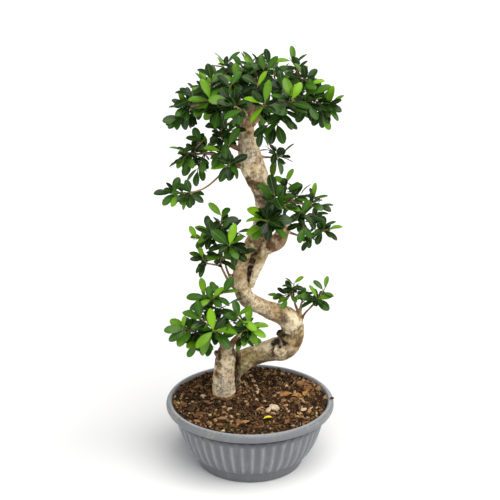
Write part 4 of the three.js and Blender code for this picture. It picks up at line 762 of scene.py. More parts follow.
class Paint(Nodes):
    """A principled material, laid on coat by coat over its first colour."""

    def __init__(self, name, colour=None):
        self.material = bpy.data.materials.new(name)
        self.material.use_nodes = True
        super().__init__(self.material.node_tree)
        self.place = self.add("ShaderNodeTexCoord").outputs["Object"]
        self.colour = colour

    def grain(self, scale, detail=3.0, roughness=0.55):
        """A cloud in the object's own coordinates."""
        return self.cloud(self.place, scale, detail, roughness)

    def coat(self, colour, *shares):
        """Lays a colour on, as strongly as the product of the shares."""
        self.colour = self.mix(self.times(*shares), self.colour, colour)

    def finished(self, roughness, specular=0.5, bumps=None):
        """The material with its coats and gloss; bumps are their height, strength and distance in metres."""
        shader = self.tree.nodes["Principled BSDF"].inputs
        self.fill(shader["Base Color"], self.colour)
        self.fill(shader["Roughness"], roughness)
        self.fill(shader["Specular IOR Level"], specular)
        if bumps:
            inputs = dict(zip(("Height", "Strength", "Distance"), bumps))
            self.fill(shader["Normal"], self.add("ShaderNodeBump", inputs).outputs[0])
        return self.material


class Growth(Nodes):
    """A geometry tree with named inputs, each (name, socket type, default), and a last one for its material."""

    def __init__(self, name, sockets):
        super().__init__(bpy.data.node_groups.new(name, "GeometryNodeTree"))
        interface = self.tree.interface
        interface.new_socket("Geometry", in_out="INPUT", socket_type="NodeSocketGeometry")
        for label, kind, default in (*sockets, ("Material", "NodeSocketMaterial", None)):
            made = interface.new_socket(label, in_out="INPUT", socket_type=kind)
            if default is not None:
                made.default_value = default
        interface.new_socket("Geometry", in_out="OUTPUT", socket_type="NodeSocketGeometry")
        self.inputs = {item.name: item for item in self.tree.nodes.new("NodeGroupInput").outputs}

    def named(self, name, kind="FLOAT"):
        return self.add("GeometryNodeInputNamedAttribute", {"Name": name}, data_type=kind).outputs[0]

    def combined(self, x, y, z=0.0):
        return self.add("ShaderNodeCombineXYZ", {0: x, 1: y, 2: z}).outputs[0]

    def end(self, geometry):
        """Realizes instances, gives them their material and closes the tree."""
        real = self.add("GeometryNodeRealizeInstances", {"Geometry": geometry}).outputs[0]
        inputs = {"Geometry": real, "Material": self.inputs["Material"]}
        dressed = self.add("GeometryNodeSetMaterial", inputs).outputs[0]
        self.tree.links.new(dressed, self.tree.nodes.new("NodeGroupOutput").inputs[0])
        return self.tree


# Mesh helpers

def new_object(name, data):
    made = bpy.data.objects.new(name, data)
    bpy.context.scene.collection.objects.link(made)
    return made


def drop(item):
    """Removes a mesh object and its mesh."""
    mesh = item.data
    bpy.data.objects.remove(item)
    bpy.data.meshes.remove(mesh)


def mesh_object(name, points, faces=(), edges=()):
    mesh = bpy.data.meshes.new(name)
    mesh.from_pydata([tuple(point) for point in points], edges, faces)
    mesh.update()
    return new_object(name, mesh)


def store(mesh, name, values, kind="FLOAT", domain="POINT"):
    """Writes one number, vector, colour or flag for each part of the domain, as a named attribute."""
    field = {"FLOAT_VECTOR": "vector", "FLOAT_COLOR": "color"}.get(kind, "value")
    values = np.asarray(values, bool if kind == "BOOLEAN" else np.float32)
    mesh.attributes.new(name, kind, domain).data.foreach_set(field, values.ravel())


def rows_of(mesh, field="co"):
    """Each point's place, or its normal."""
    flat = np.zeros(len(mesh.vertices) * 3, np.float32)
    mesh.vertices.foreach_get(field, flat)
    return flat.reshape(-1, 3).astype(float)


def set_points(mesh, points):
    mesh.vertices.foreach_set("co", np.asarray(points, np.float32).ravel())
    mesh.update()


def shade_smooth(mesh):
    mesh.polygons.foreach_set("use_smooth", [True] * len(mesh.polygons))


def plain_mesh(source, name):
    """What an object evaluates to, as a plain mesh object; the source goes."""
    graph = bpy.context.evaluated_depsgraph_get()
    mesh = bpy.data.meshes.new_from_object(source.evaluated_get(graph))
    mesh.name = name
    drop(source)
    return new_object(name, mesh)


def grown_by(tree, source, name, inputs):
    """The plain mesh that a geometry tree makes of an object, with the tree's inputs given by name."""
    modifier = source.modifiers.new("Growth", "NODES")
    modifier.node_group = tree
    for item in tree.interface.items_tree:
        if item.item_type == "SOCKET" and item.in_out == "INPUT" and item.name in inputs:
            modifier[item.identifier] = inputs[item.name]
    source.update_tag()
    return plain_mesh(source, name)


def finish_piece(piece, replaced=()):
    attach(piece, "root")
    if replaced:
        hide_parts(*replaced)


def lathe(profile, columns):
    """Points, faces and each point's row for a profile of (radius, height) turned round Z."""
    points, faces, rows, starts = [], [], [], []
    for row, (radius, height) in enumerate(profile):
        starts.append(len(points))
        for k in range(columns if radius else 1):
            angle = 2 * math.pi * k / columns
            points.append((radius * math.cos(angle) * MM, radius * math.sin(angle) * MM, height * MM))
            rows.append(row)
    for row in range(len(profile) - 1):
        low, high = starts[row], starts[row + 1]
        for k in range(columns):
            n = (k + 1) % columns
            if profile[row][0] == 0:
                faces.append((low, high + n, high + k))
            elif profile[row + 1][0] == 0:
                faces.append((low + k, low + n, high))
            else:
                faces.append((low + k, low + n, high + n, high + k))
    return points, faces, np.array(rows)


def smooth_step(values, low, high):
    t = np.clip((values - low) / (high - low), 0, 1)
    return t * t * (3 - 2 * t)


def relief(points, size, octaves, seed):
    """Soft noise at points in millimetres, with bumps of about that size."""
    shift = Vector((seed * 17.3, seed * 5.1, seed * 9.7))
    return np.array([noise.fractal(Vector(point) / size + shift, 1.0, 2.0, octaves) for point in points])


# Bowl

def bowl_material(settings):
    paint = Paint("moulded_plastic", settings.colour)
    rim, patches, fine = paint.attribute("rim"), paint.grain(38, 4), paint.grain(260)
    drips = paint.cloud(paint.vectors("MULTIPLY", paint.place, DRIP_STRETCH), 120, 4, 0.6)
    scuffs = paint.times(paint.band(patches, 0.50, 0.62), paint.band(rim, 0.6, 1.0), paint.band(fine, 0.38, 0.60))
    paint.coat(settings.rim_colour, paint.band(rim, 0.3, 0.9))
    # Painted shade in the hollows of the flutes
    paint.coat(FLUTE_SHADE, paint.attribute("dell"), 0.4)
    # Ridges painted lighter, as wear and as a painted highlight
    paint.coat(RIDGE_WEAR_AND_HIGHLIGHT, paint.attribute("ridge"), paint.band(patches, 0.35, 0.65, 0.3, 0.65))
    paint.coat(FADED_PLASTIC, paint.band(patches, 0.35, 0.75), 0.30)
    # Painted shade in the neck under the rim, and a light darkening over the foot
    paint.coat(NECK_SHADE, paint.attribute("grime"), 0.8)
    paint.coat(DRIED_DRIPS, paint.band(drips, 0.5, 0.75, 0.0, 0.28))
    paint.coat(settings.scuff_colour, scuffs, 0.55)
    # Rim edges painted lighter, as rubbing and as a painted highlight
    paint.coat(RIM_EDGE_WEAR_AND_HIGHLIGHT, paint.attribute("edge"), paint.band(fine, 0.3, 0.55, 0.25, 0.8))
    bumps = (paint.plus(fine, paint.grain(1400, 2)), 0.12, 0.0006)
    return paint.finished(paint.band(fine, 0.3, 0.7, 0.34, 0.52), bumps=bumps)


def flute_tree():
    """Presses hollow flutes into a turned wall, as deep as its flute attribute allows."""
    growth = Growth("Press flutes", (("Flutes", "NodeSocketInt", 45), ("Depth", "NodeSocketFloat", 0.002)))
    inputs = growth.inputs
    x, y, _ = growth.parts(growth.add("GeometryNodeInputPosition").outputs[0])
    turns = growth.times(growth.maths("DIVIDE", growth.maths("ARCTAN2", y, x), 2 * math.pi), inputs["Flutes"])
    arc = growth.maths("SINE", growth.times(growth.maths("FRACT", turns), math.pi))
    depth = growth.times(growth.maths("POWER", arc, FLUTE_POWER), growth.named("flute"), inputs["Depth"])
    inward = growth.scaled(growth.vectors("NORMALIZE", growth.combined(x, y)), growth.times(depth, -1.0))
    moved = {"Geometry": inputs["Geometry"], "Offset": inward}
    return growth.end(growth.add("GeometryNodeSetPosition", moved).outputs[0])


class BONSAI_OT_bowl(bpy.types.Operator):
    """Turn the bowl, press its flutes and give it worn plastic"""

    bl_idname = "bonsai.bowl"
    bl_label = "Bowl"

    def execute(self, context):
        settings = context.scene.bonsai_bowl
        profile = BOWL_FOOT + BOWL_WALL + BOWL_RIM + BOWL_INSIDE
        points, faces, rows = lathe(profile, settings.flutes * COLUMNS_PER_FLUTE)
        source = mesh_object("bowl_turned", points, faces)
        heights = np.array([profile[row][1] for row in rows], float)
        wall_end = len(BOWL_FOOT) + len(BOWL_WALL)
        outside = rows < wall_end
        rim = (rows >= wall_end + RIM_START) & (rows < len(profile) - len(BOWL_INSIDE))
        turns = np.arctan2([p[1] for p in points], [p[0] for p in points]) / (2 * math.pi) * settings.flutes
        across = np.abs(2 * (turns % 1) - 1)
        arch = FLUTE_FADE * across ** 2
        flute = smooth_step(heights, FLUTE_START + arch * 0.3, FLUTE_START + FLUTE_RISE + arch)
        flute *= 1 - smooth_step(heights, FLUTE_END - FLUTE_FALL - arch, FLUTE_END - arch * 0.3)
        flute *= outside
        low, high = FOOT_DARKENING
        store(source.data, "flute", flute)
        # Where the ridges are painted lighter, as wear and as a painted highlight
        store(source.data, "ridge", smooth_step(across, 0.5, 1.0) * flute)
        # Where the flutes' hollows get painted shade: full in their middles, none at the ridges
        store(source.data, "dell", (1 - smooth_step(across, 0.1, 0.8)) * flute)
        store(source.data, "rim", rim)
        # Rim edges that are painted lighter, as wear and as a painted highlight
        store(source.data, "edge", np.isclose(heights[:, None], RIM_EDGES).any(1) & rim)
        # Painted shade in full from the neck up under the rim, and a fifth as much darkening over the foot
        store(source.data, "grime", smooth_step(heights, *UNDER_RIM_SHADE_HEIGHTS) * ~rim
              + 0.2 * smooth_step(-heights, -high, -low) * outside)
        shade_smooth(source.data)
        inputs = {"Flutes": settings.flutes, "Depth": settings.flute_depth, "Material": bowl_material(settings)}
        bowl = grown_by(flute_tree(), source, "fluted_bowl", inputs)
        finish_piece(bowl, ["bowl"])
        return {"FINISHED"}


# Soil

def soil_height(x, y):
    mx, my, rise, spread = SOIL_MOUND
    wave, length_x, length_y = SOIL_WAVE
    fall = SOIL_FALL * (x * x + y * y) / SOIL_EDGE ** 2
    mound = rise * math.exp(-((x - mx) ** 2 + (y - my) ** 2) / spread)
    return SOIL_TOP - fall + mound + wave * math.sin(x / length_x + 1) * math.sin(y / length_y)


def soil_material(settings):
    paint = Paint("peat_and_bark", settings.dark)
    coarse, fine = paint.grain(110, 5, 0.65), paint.grain(620, 4, 0.7)
    paint.coat(settings.brown, paint.band(coarse, 0.35, 0.62))
    paint.coat(settings.orange, paint.band(fine, 0.55, 0.72), 0.7)
    paint.coat(PALE_CRUMBS, paint.band(paint.grain(1100, 2), 0.66, 0.74), 0.6)
    return paint.finished(0.93, 0.1, (paint.plus(coarse, fine), 0.9, 0.0022))


def crumb_material(settings, name, tints, roughness):
    """Loose pieces whose colour runs through a row of TINTS by their tint."""
    paint = Paint(name)
    ramp = paint.add("ShaderNodeValToRGB", {0: paint.attribute("tint")})
    elements = ramp.color_ramp.elements
    while len(elements) < len(TINTS[tints]):
        elements.new(0.5)
    for element, (position, colour) in zip(elements, TINTS[tints]):
        element.position = position
        element.color = (*tuple(getattr(settings, colour) if isinstance(colour, str) else colour)[:3], 1)
    paint.colour = ramp.outputs[0]
    fine = paint.grain(900)
    paint.coat(CRUMB_PORES, paint.band(fine, 0.4, 0.7, 0.0, 0.6))
    return paint.finished(roughness, 0.15, (fine, 0.5, 0.0008))


def scatter_tree():
    """Scatters angular pieces over the marked faces of the soil, each with its own turn, size and tint."""
    growth = Growth("Scatter pieces", (
        ("Where", "NodeSocketString", "top"),
        ("Density", "NodeSocketFloat", 1000.0),
        ("Smallest", "NodeSocketVector", (0.001, 0.001, 0.001)),
        ("Largest", "NodeSocketVector", (0.002, 0.002, 0.002)),
        ("Tilt", "NodeSocketFloat", 1.0),
        ("Seed", "NodeSocketInt", 1),
    ))
    inputs = growth.inputs
    tilt, seed = inputs["Tilt"], inputs["Seed"]
    back = growth.times(tilt, -1.0)

    def drawn(low, high, seed):
        ends = {0: low, 1: high, "Seed": seed}
        return growth.add("FunctionNodeRandomValue", ends, data_type="FLOAT_VECTOR").outputs[0]

    spread = growth.add("GeometryNodeDistributePointsOnFaces", {
        "Mesh": inputs["Geometry"], "Density": inputs["Density"], "Seed": seed,
        "Selection": growth.named(inputs["Where"], "BOOLEAN")}).outputs[0]
    turn = drawn(growth.combined(back, back), growth.combined(tilt, tilt, 2 * math.pi), seed)
    size = drawn(inputs["Smallest"], inputs["Largest"], growth.plus(seed, 11.0))
    piece = growth.add("GeometryNodeMeshIcoSphere", {"Radius": 1.0, "Subdivisions": 1}).outputs[0]
    placed = growth.add("GeometryNodeInstanceOnPoints", {
        "Points": spread, "Instance": piece, "Rotation": turn, "Scale": size}).outputs[0]
    tint = growth.add("FunctionNodeRandomValue", {"Seed": growth.plus(seed, 23.0)}, data_type="FLOAT").outputs[1]
    tinted = growth.add("GeometryNodeStoreNamedAttribute", {
        "Geometry": placed, "Name": "tint", "Value": tint}, data_type="FLOAT", domain="INSTANCE").outputs[0]
    return growth.end(tinted)


def soil_surface(settings):
    """The soil as one closed mesh in metres, with its top and its mossy patches marked."""
    rings = [(radius, 0) for radius in np.arange(SOIL_EDGE, SOIL_STEP, -SOIL_STEP)] + [(0, 0)]
    points, faces, rows = lathe(SOIL_SIDE + rings, SOIL_COLUMNS)
    points = np.array(points) / MM
    top = rows >= len(SOIL_SIDE)
    inner = np.hypot(points[:, 0], points[:, 1])
    bumps = relief(points[top], 15, 3, 1) * 0.6 + relief(points[top], 5, 3, 2) * 0.6
    ease = 1 - smooth_step(inner[top], SOIL_EDGE - 4, SOIL_EDGE)
    heights = np.array([soil_height(x, y) for x, y, _ in points[top]])
    points[top, 2] = heights + bumps * ease * settings.relief / MM
    made = mesh_object("potting_soil", points * MM, faces)
    flags = np.array([all(top[v] for v in face.vertices) for face in made.data.polygons])
    store(made.data, "top", flags, "BOOLEAN", "FACE")
    centres = np.array([face.center[:] for face in made.data.polygons]) / MM
    near = np.min([np.hypot(centres[:, 0] - x, centres[:, 1] - y) / radius for x, y, radius in MOSS], axis=0)
    store(made.data, "mossy", flags & (near < 0.75 + 0.6 * relief(centres, 12, 2, 9)), "BOOLEAN", "FACE")
    shade_smooth(made.data)
    return made


class BONSAI_OT_soil(bpy.types.Operator):
    """Fill the bowl with soil and scatter crumbs, bark chips and grit on it"""

    bl_idname = "bonsai.soil"
    bl_label = "Soil"

    def execute(self, context):
        settings = context.scene.bonsai_soil
        soil = soil_surface(settings)
        soil.data.materials.append(soil_material(settings))
        finish_piece(soil, ["soil"])
        tree = scatter_tree()
        for name, density, where, smallest, largest, tilt, seed, tints, roughness in LOOSE_PIECES:
            made = grown_by(tree, new_object(name, soil.data.copy()), name, {
                "Where": where,
                "Density": getattr(settings, density),
                "Smallest": [value * MM for value in smallest],
                "Largest": [value * MM for value in largest],
                "Tilt": tilt,
                "Seed": seed,
                "Material": crumb_material(settings, name, tints, roughness),
            })
            finish_piece(made)
        chips = large_chips()
        chips.data.materials.append(crumb_material(settings, "large_bark_chips", "bark", 0.85))
        finish_piece(chips)
        return {"FINISHED"}


def large_chips():
    """Large chips, the crumbs heaped round the stub's foot and the one on the rim, as one mesh."""
    chance = np.random.default_rng(21)
    chips = [(x, y, soil_height(x, y) + lift, *rest) for x, y, lift, *rest in LARGE_CHIPS]
    x, y, radius, count = STUB_RING
    first, step = STUB_ANGLES
    for k in range(count):
        angle = math.radians(first + step * k + chance.uniform(-4, 4))
        away = radius + chance.uniform(-1, 5)
        px, py = x + away * math.cos(angle), y + away * math.sin(angle)
        sizes = tuple(chance.uniform(1.6, 3.6) * part for part in (1.3, 1.0, 0.9))
        chips.append((px, py, soil_height(px, py) + chance.uniform(0.6, 3.4), sizes, chance.uniform(0, 180),
                      chance.uniform(0.35, 0.7)))
    chips.append(RIM_CRUMB)
    bpy.ops.mesh.primitive_ico_sphere_add(subdivisions=2, radius=1)
    ball = bpy.context.object
    corners, sides = rows_of(ball.data), [tuple(face.vertices) for face in ball.data.polygons]
    drop(ball)
    points, faces, tints = [], [], []
    for number, (x, y, z, sizes, turn, tint) in enumerate(chips):
        rough = corners * (1 + 0.32 * relief(corners, 0.9, 2, 40 + number))[:, None] * sizes
        rough[:, 2] += rough[:, 0] * chance.uniform(-0.3, 0.3)
        c, s = math.cos(math.radians(turn)), math.sin(math.radians(turn))
        turned = np.column_stack((rough[:, 0] * c - rough[:, 1] * s, rough[:, 0] * s + rough[:, 1] * c, rough[:, 2]))
        faces += [tuple(len(points) + v for v in side) for side in sides]
        points += list((turned + (x, y, z)) * MM)
        tints += [tint] * len(corners)
    made = mesh_object("large_chips", points, faces)
    store(made.data, "tint", tints)
    return made


# Wood

def along(points, s):
    """Place and radius at s on a smooth line through (x, y, z, radius) points, s counting the points."""
    last = len(points) - 1
    i = max(0, min(math.floor(s), last - 1))
    t = s - i
    b, c = np.array(points[i], float), np.array(points[i + 1], float)
    a = np.array(points[i - 1], float) if i > 0 else 2 * b - c
    d = np.array(points[i + 2], float) if i < last - 1 else 2 * c - b
    return b + 0.5 * t * (c - a + t * (2 * a - 5 * b + 4 * c - d + t * (3 * (b - c) + d - a)))


def smooth_path(points, step):
    """Places about a step apart on the line through a piece's points."""
    places = []
    for i in range(len(points) - 1):
        count = max(1, round(float(np.linalg.norm(np.subtract(points[i + 1], points[i])[:3])) / step))
        places += [along(points, i + k / count) for k in range(count)]
    return np.array(places + [along(points, len(points) - 1)])


def tube_tree():
    """Tubes round lines, as thick as the lines' thick attribute."""
    growth = Growth("Grow wood", (("Sides", "NodeSocketInt", 12),))
    line = growth.add("GeometryNodeMeshToCurve", {"Mesh": growth.inputs["Geometry"]}).outputs[0]
    sides = {"Resolution": growth.inputs["Sides"], "Radius": 1.0}
    ring = growth.add("GeometryNodeCurvePrimitiveCircle", sides).outputs[0]
    tube = growth.add("GeometryNodeCurveToMesh", {
        "Curve": line, "Profile Curve": ring, "Scale": growth.named("thick"), "Fill Caps": True}).outputs[0]
    return growth.end(growth.add("GeometryNodeSetShadeSmooth", {"Geometry": tube}).outputs[0])


def tubes(name, paths, sides, material):
    """One mesh of closed tubes; each path is an array of (x, y, z, radius) in millimetres."""
    points, edges = [], []
    for path in paths:
        start = len(points)
        points += [tuple(place[:3] * MM) for place in path]
        edges += [(start + i, start + i + 1) for i in range(len(path) - 1)]
    source = mesh_object(name, points, edges=edges)
    store(source.data, "thick", np.concatenate([path[:, 3] for path in paths]) * MM)
    return grown_by(tube_tree(), source, name, {"Sides": sides, "Material": material})


def bark_frames(paths):
    """For each place on the wood: centre, radius, forward, side, and the way along its piece so far."""
    rows = []
    for number, path in enumerate(paths):
        side, run = None, 90.0 * number
        for i, place in enumerate(path):
            before, after = path[max(i - 1, 0)], path[min(i + 1, len(path) - 1)]
            forward = unit((after - before)[:3])
            seed = side if side is not None else np.array((1.0, 0, 0) if abs(forward[0]) < 0.8 else (0, 1.0, 0))
            side = unit(seed - forward * (seed @ forward))
            if i:
                run += np.linalg.norm((place - path[i - 1])[:3])
            rows.append((*place, *forward, *side, run))
    return np.array(rows)


def bark_flow(points, frames):
    """Coordinates that run round and along the wood, for points in millimetres, a few thousand at a time."""
    flow = np.zeros_like(points)
    for start in range(0, len(points), FLOW_BATCH):
        part = points[start:start + FLOW_BATCH]
        away = part[:, None, :] - frames[None, :, :3]
        chosen = frames[(np.linalg.norm(away, axis=2) - frames[:, 3]).argmin(1)]
        off, forward, side = part - chosen[:, :3], chosen[:, 4:7], chosen[:, 7:10]
        flow[start:start + FLOW_BATCH] = np.column_stack((
            (off * side).sum(1), (off * np.cross(forward, side)).sum(1), chosen[:, 10] + (off * forward).sum(1)))
    return flow


def bark_material(settings):
    paint = Paint("ficus_bark", settings.tan)
    flow = paint.attribute("flow", "Vector")
    stain = paint.add("ShaderNodeAttribute", attribute_name="stain").outputs
    broad, middle, fine = paint.grain(34, 4), paint.grain(140, 5, 0.65), paint.grain(700, 4, 0.65)
    paint.coat(settings.cream, paint.band(broad, 0.38, 0.58))
    broken = paint.band(paint.grain(115, 5, 0.7), 0.38, 0.56, 0.62, 1.25)
    # Patches: stains of the bark, and painted shade in the slit by the stub and the cleft between the strands
    paint.coat(stain["Color"], paint.maths("MULTIPLY", stain["Alpha"], broken, clamp=True))
    paint.coat(DULL_BARK, paint.band(middle, 0.50, 0.62), 0.55)
    streaks, rings = (paint.cloud(paint.vectors("MULTIPLY", flow, stretch), 1.0, 4, 0.62) for stretch in BARK_STRETCH)
    lines = paint.larger(paint.band(streaks, 0.57, 0.66), paint.fine_lines(streaks, 0.018))
    lines = paint.larger(paint.fine_lines(rings, 0.024), lines)
    worn = paint.plus(paint.times(stain["Alpha"], 0.85), 0.15)
    marks = paint.times(lines, paint.band(middle, 0.36, 0.56), paint.plus(paint.times(worn, 0.6), 0.34))
    mottle = paint.band(paint.grain(250, 5, 0.72), 0.50, 0.58)
    marks = paint.larger(marks, paint.times(mottle, paint.times(worn, 0.8)))
    paint.coat(paint.mix(stain["Alpha"], BARK_INK, settings.brown), marks)
    paint.coat(settings.brown, paint.band(paint.grain(420, 2, 0.5), 0.69, 0.75), 0.85)
    # Painted shade in dips and creases and on the undersides of the wood
    paint.coat(BARK_CREASE_SHADE, paint.attribute("hollow"), 0.85)
    height = paint.plus(paint.times(middle, 1.2), paint.times(fine, 0.6))
    height = paint.maths("SUBTRACT", height, paint.times(marks, 0.45))
    return paint.finished(paint.band(fine, 0.3, 0.7, 0.68, 0.88), 0.12, (height, 0.8, 0.0024))


def twig_material(settings):
    paint = Paint("twig_bark", settings.twig)
    fine = paint.grain(600)
    paint.coat(PALE_TWIGS, paint.band(paint.grain(60), 0.4, 0.62))
    paint.coat(TWIG_SPECKS, paint.band(fine, 0.58, 0.72, 0.0, 0.6))
    return paint.finished(0.8, 0.12, (fine, 0.5, 0.0006))


def around(points, pairs, degree):
    """The mean of each point's neighbours."""
    total = np.zeros_like(points)
    for axis in range(3):
        for near, far in ((0, 1), (1, 0)):
            total[:, axis] += np.bincount(pairs[:, near], points[pairs[:, far], axis], len(points))
    return total / degree


def smoothed(mesh, rounds):
    """Points whose steps between fused pieces are evened out, the edges' pairs and each point's edge count."""
    points = rows_of(mesh)
    pairs = np.zeros(len(mesh.edges) * 2, np.int64)
    mesh.edges.foreach_get("vertices", pairs)
    pairs = pairs.reshape(-1, 2)
    degree = np.bincount(pairs.ravel(), minlength=len(points)).astype(float)[:, None]
    for _ in range(rounds):
        for share in (0.5, -0.52):
            points += share * (around(points, pairs, degree) - points)
    return points, pairs, degree


class BONSAI_OT_trunk(bpy.types.Operator):
    """Fuse the trunk, stub, strands and thick limbs and give them bark"""

    bl_idname = "bonsai.trunk"
    bl_label = "Trunk"

    def execute(self, context):
        settings = context.scene.bonsai_bark
        pieces = [*BODY, LIMB_WEB]
        pieces += [limb[:max(2, sum(place[3] > FUSED_RADIUS for place in limb))] for limb in LIMBS.values()]
        paths = [smooth_path(piece, PATH_STEP) for piece in pieces]
        bark = bark_material(settings)
        rough = tubes("trunk_tubes", paths, TRUNK_SIDES, bark)
        remesh = rough.modifiers.new("Fuse", "REMESH")
        remesh.mode = "VOXEL"
        remesh.voxel_size = settings.voxel
        remesh.use_smooth_shade = True
        trunk = plain_mesh(rough, "bark_trunk")
        mesh = trunk.data
        points, pairs, degree = smoothed(mesh, SMOOTH_ROUNDS)
        set_points(mesh, points)
        place = points / MM
        flow = bark_flow(place, bark_frames(paths))
        broad = relief(place, 26, 2, 3)
        knobs = relief(place, 7, 3, 4)
        rings = relief(flow * (0.25, 0.25, 1.0), 5.5, 3, 5)
        streaks = relief(flow * (1.0, 1.0, 0.16), 4.2, 3, 6)
        *knot, knot_radius, knot_width = KNOT_CREASE
        crease = np.exp(-((np.linalg.norm(place - knot, axis=1) - knot_radius) / knot_width) ** 2)
        lift = 0.8 * broad + 0.45 * knobs + 0.5 * rings - 0.45 * np.abs(streaks) - 0.6 * crease
        points = points + rows_of(mesh, "normal") * (lift - 0.15)[:, None] * settings.relief
        set_points(mesh, points)
        normals = rows_of(mesh, "normal")
        # Painted shade on the bark: in the dips of the fused wood, in the knot's crease, and on faces turned down
        dip = ((around(points, pairs, degree) - points) * normals).sum(1) / MM
        # Painted shade on faces turned down
        below = 0.42 * smooth_step(-normals[:, 2], 0.15, 0.85)
        store(mesh, "hollow", np.maximum(np.maximum(smooth_step(dip, 0.05, 0.24), 0.3 * crease), below))
        store(mesh, "flow", flow * MM, "FLOAT_VECTOR")
        store(mesh, "stain", self.stains_and_shade(place), "FLOAT_COLOR")
        shade_smooth(mesh)
        mesh.materials.clear()
        mesh.materials.append(bark)
        finish_piece(trunk, ["trunk"])
        return {"FINISHED"}

    def stains_and_shade(self, place):
        """Colour and strength of the patches, stains and painted shade, at each point, with ragged edges."""
        ragged = 1 + 0.7 * relief(place, 11, 4, 8)
        colour = np.tile(BARE_BARK, (len(place), 1)).astype(float)
        strength = np.zeros(len(place))
        for x, y, z, radius, tone, most in BARK_STAINS_AND_SHADE:
            distance = np.linalg.norm(place - (x, y, z), axis=1) * ragged
            share = most * (1 - smooth_step(distance, 0.45 * radius, 1.15 * radius))
            colour += (np.array(tone) - colour) * (share / np.maximum(np.maximum(share, strength), 1e-6))[:, None]
            strength = np.maximum(strength, share)
        return np.column_stack((colour, strength))


# Twigs and leaves

def draws(seed):
    """Seeded draws between 0 and 1, the same as in the part's source."""
    mask = 0xFFFFFFFF
    state = seed & mask
    while True:
        state = (state + 0x6D2B79F5) & mask
        t = ((state ^ (state >> 15)) * (1 | state)) & mask
        t = (((t + (((t ^ (t >> 7)) * (61 | t)) & mask)) & mask) ^ t) & mask
        yield ((t ^ (t >> 14)) & mask) / 4294967296


def unit(vector):
    return vector / np.linalg.norm(vector)


def twig_curve(parent_at, tip, fixed=None):
    """A twig from a little down its parent to the tip, a curve with one bend."""
    tip = np.array(tip, float)
    gaps = [float(np.linalg.norm(parent_at(k / TWIG_STEPS) - tip)) for k in range(TWIG_STEPS + 1)]
    best = int(np.argmin(gaps))
    s = fixed
    if fixed is None:
        s, reach = best / TWIG_STEPS, min(12, 0.45 * gaps[best])
        while s > TWIG_LOWEST and np.linalg.norm(parent_at(s) - parent_at(best / TWIG_STEPS)) < reach:
            s -= 1 / TWIG_STEPS
        s = max(s, TWIG_LOWEST)
    start = parent_at(s)
    ahead = unit(parent_at(s + 0.003) - start)
    span = float(np.linalg.norm(tip - start))
    bend = start + ahead * TWIG_LEAD * span + np.array((0, 0, TWIG_RISE * span))

    def at(t):
        return (1 - t) ** 2 * start + 2 * t * (1 - t) * bend + t * t * tip

    return at, span


def front_of(tip):
    """How far a shoot faces the front, 1, or the back, -1; the bend on the right lies further back."""
    x, y, z = tip
    middle = BEND_MIDDLE if x > 30 and z < 330 else CROWN_MIDDLE
    return max(-1.0, min(1.0, (middle - y) / TURN_DEPTH))


def leaf_of(at, span, index, angle, length, front, random, attempt):
    """Where a leaf of a shoot starts and faces, for one of the tries, in millimetres."""
    turn, lean, shrink = attempt
    root = at(1 - min(0.6, (FIRST_LEAF + LEAF_STEP * index) / span))
    tilt = math.radians(LEAF_LEAN * front + LEAF_LEAN_SPREAD * (random[0] - 0.5) + lean)
    a = math.radians(angle + turn)
    picture = np.array((math.cos(a), math.sin(VIEW_TILT) * math.sin(a), math.cos(VIEW_TILT) * math.sin(a)))
    toward = np.array((0, -math.cos(VIEW_TILT), math.sin(VIEW_TILT)))
    way = unit(picture * math.cos(tilt) + toward * math.sin(tilt))
    sky = np.array((0, -0.55 * front, 0.8))
    flat = unit(sky - way * (sky @ way))
    roll = math.radians(LEAF_ROLL_SPREAD * (random[1] - 0.5))
    up = unit(flat * math.cos(roll) + np.cross(way, flat) * math.sin(roll))
    share = LEAF_LENGTH[0] + LEAF_LENGTH[1] * random[2]
    return {"seat": root, "way": way, "up": up, "length": length * share * shrink,
            "arch": LEAF_ARCH[0] + LEAF_ARCH[1] * random[3]}


def rib_at(leaf, s):
    """The place on a leaf's midrib at a share of its length."""
    return leaf["seat"] + leaf["way"] * leaf["length"] * s - leaf["up"] * leaf["length"] * leaf["arch"] * s * s


def blade_samples(leaf):
    """Places spread over a leaf's blade, to keep leaves out of each other."""
    across = np.cross(leaf["way"], leaf["up"])
    places = []
    for s, share in SAMPLE_ROWS:
        half = SAMPLE_HALF * leaf["length"] * share
        places += [rib_at(leaf, s) + across * half * b for b in (SAMPLE_ACROSS if half else (0,))]
    return np.array(places)


class LeafRoom:
    """Keeps the places that leaves have taken, in small cells, and what the wood takes."""

    def __init__(self, wood):
        self.taken = set()
        self.wood = KDTree(len(wood))
        for i, place in enumerate(wood):
            self.wood.insert(place[:3], i)
        self.wood.balance()
        self.radii = wood[:, 3]
        low, high = CAD_BOX
        self.low = np.array(low) / MM + LEAF_CLEAR
        self.high = np.array(high) / MM - LEAF_CLEAR

    def cells(self, places):
        return {tuple(cell) for cell in np.floor(places / LEAF_CELL).astype(int)}

    def free(self, places):
        """Whether a leaf there stays in the box, off the wood and out of all but one taken cell."""
        if (places < self.low).any() or (places > self.high).any():
            return False
        if len(self.cells(places) & self.taken) > 1:
            return False
        for place in places[::2]:
            for _, index, distance in self.wood.find_n(place, 3):
                if distance < self.radii[index] + LEAF_CLEAR:
                    return False
        return True

    def take(self, places):
        self.taken |= self.cells(places)


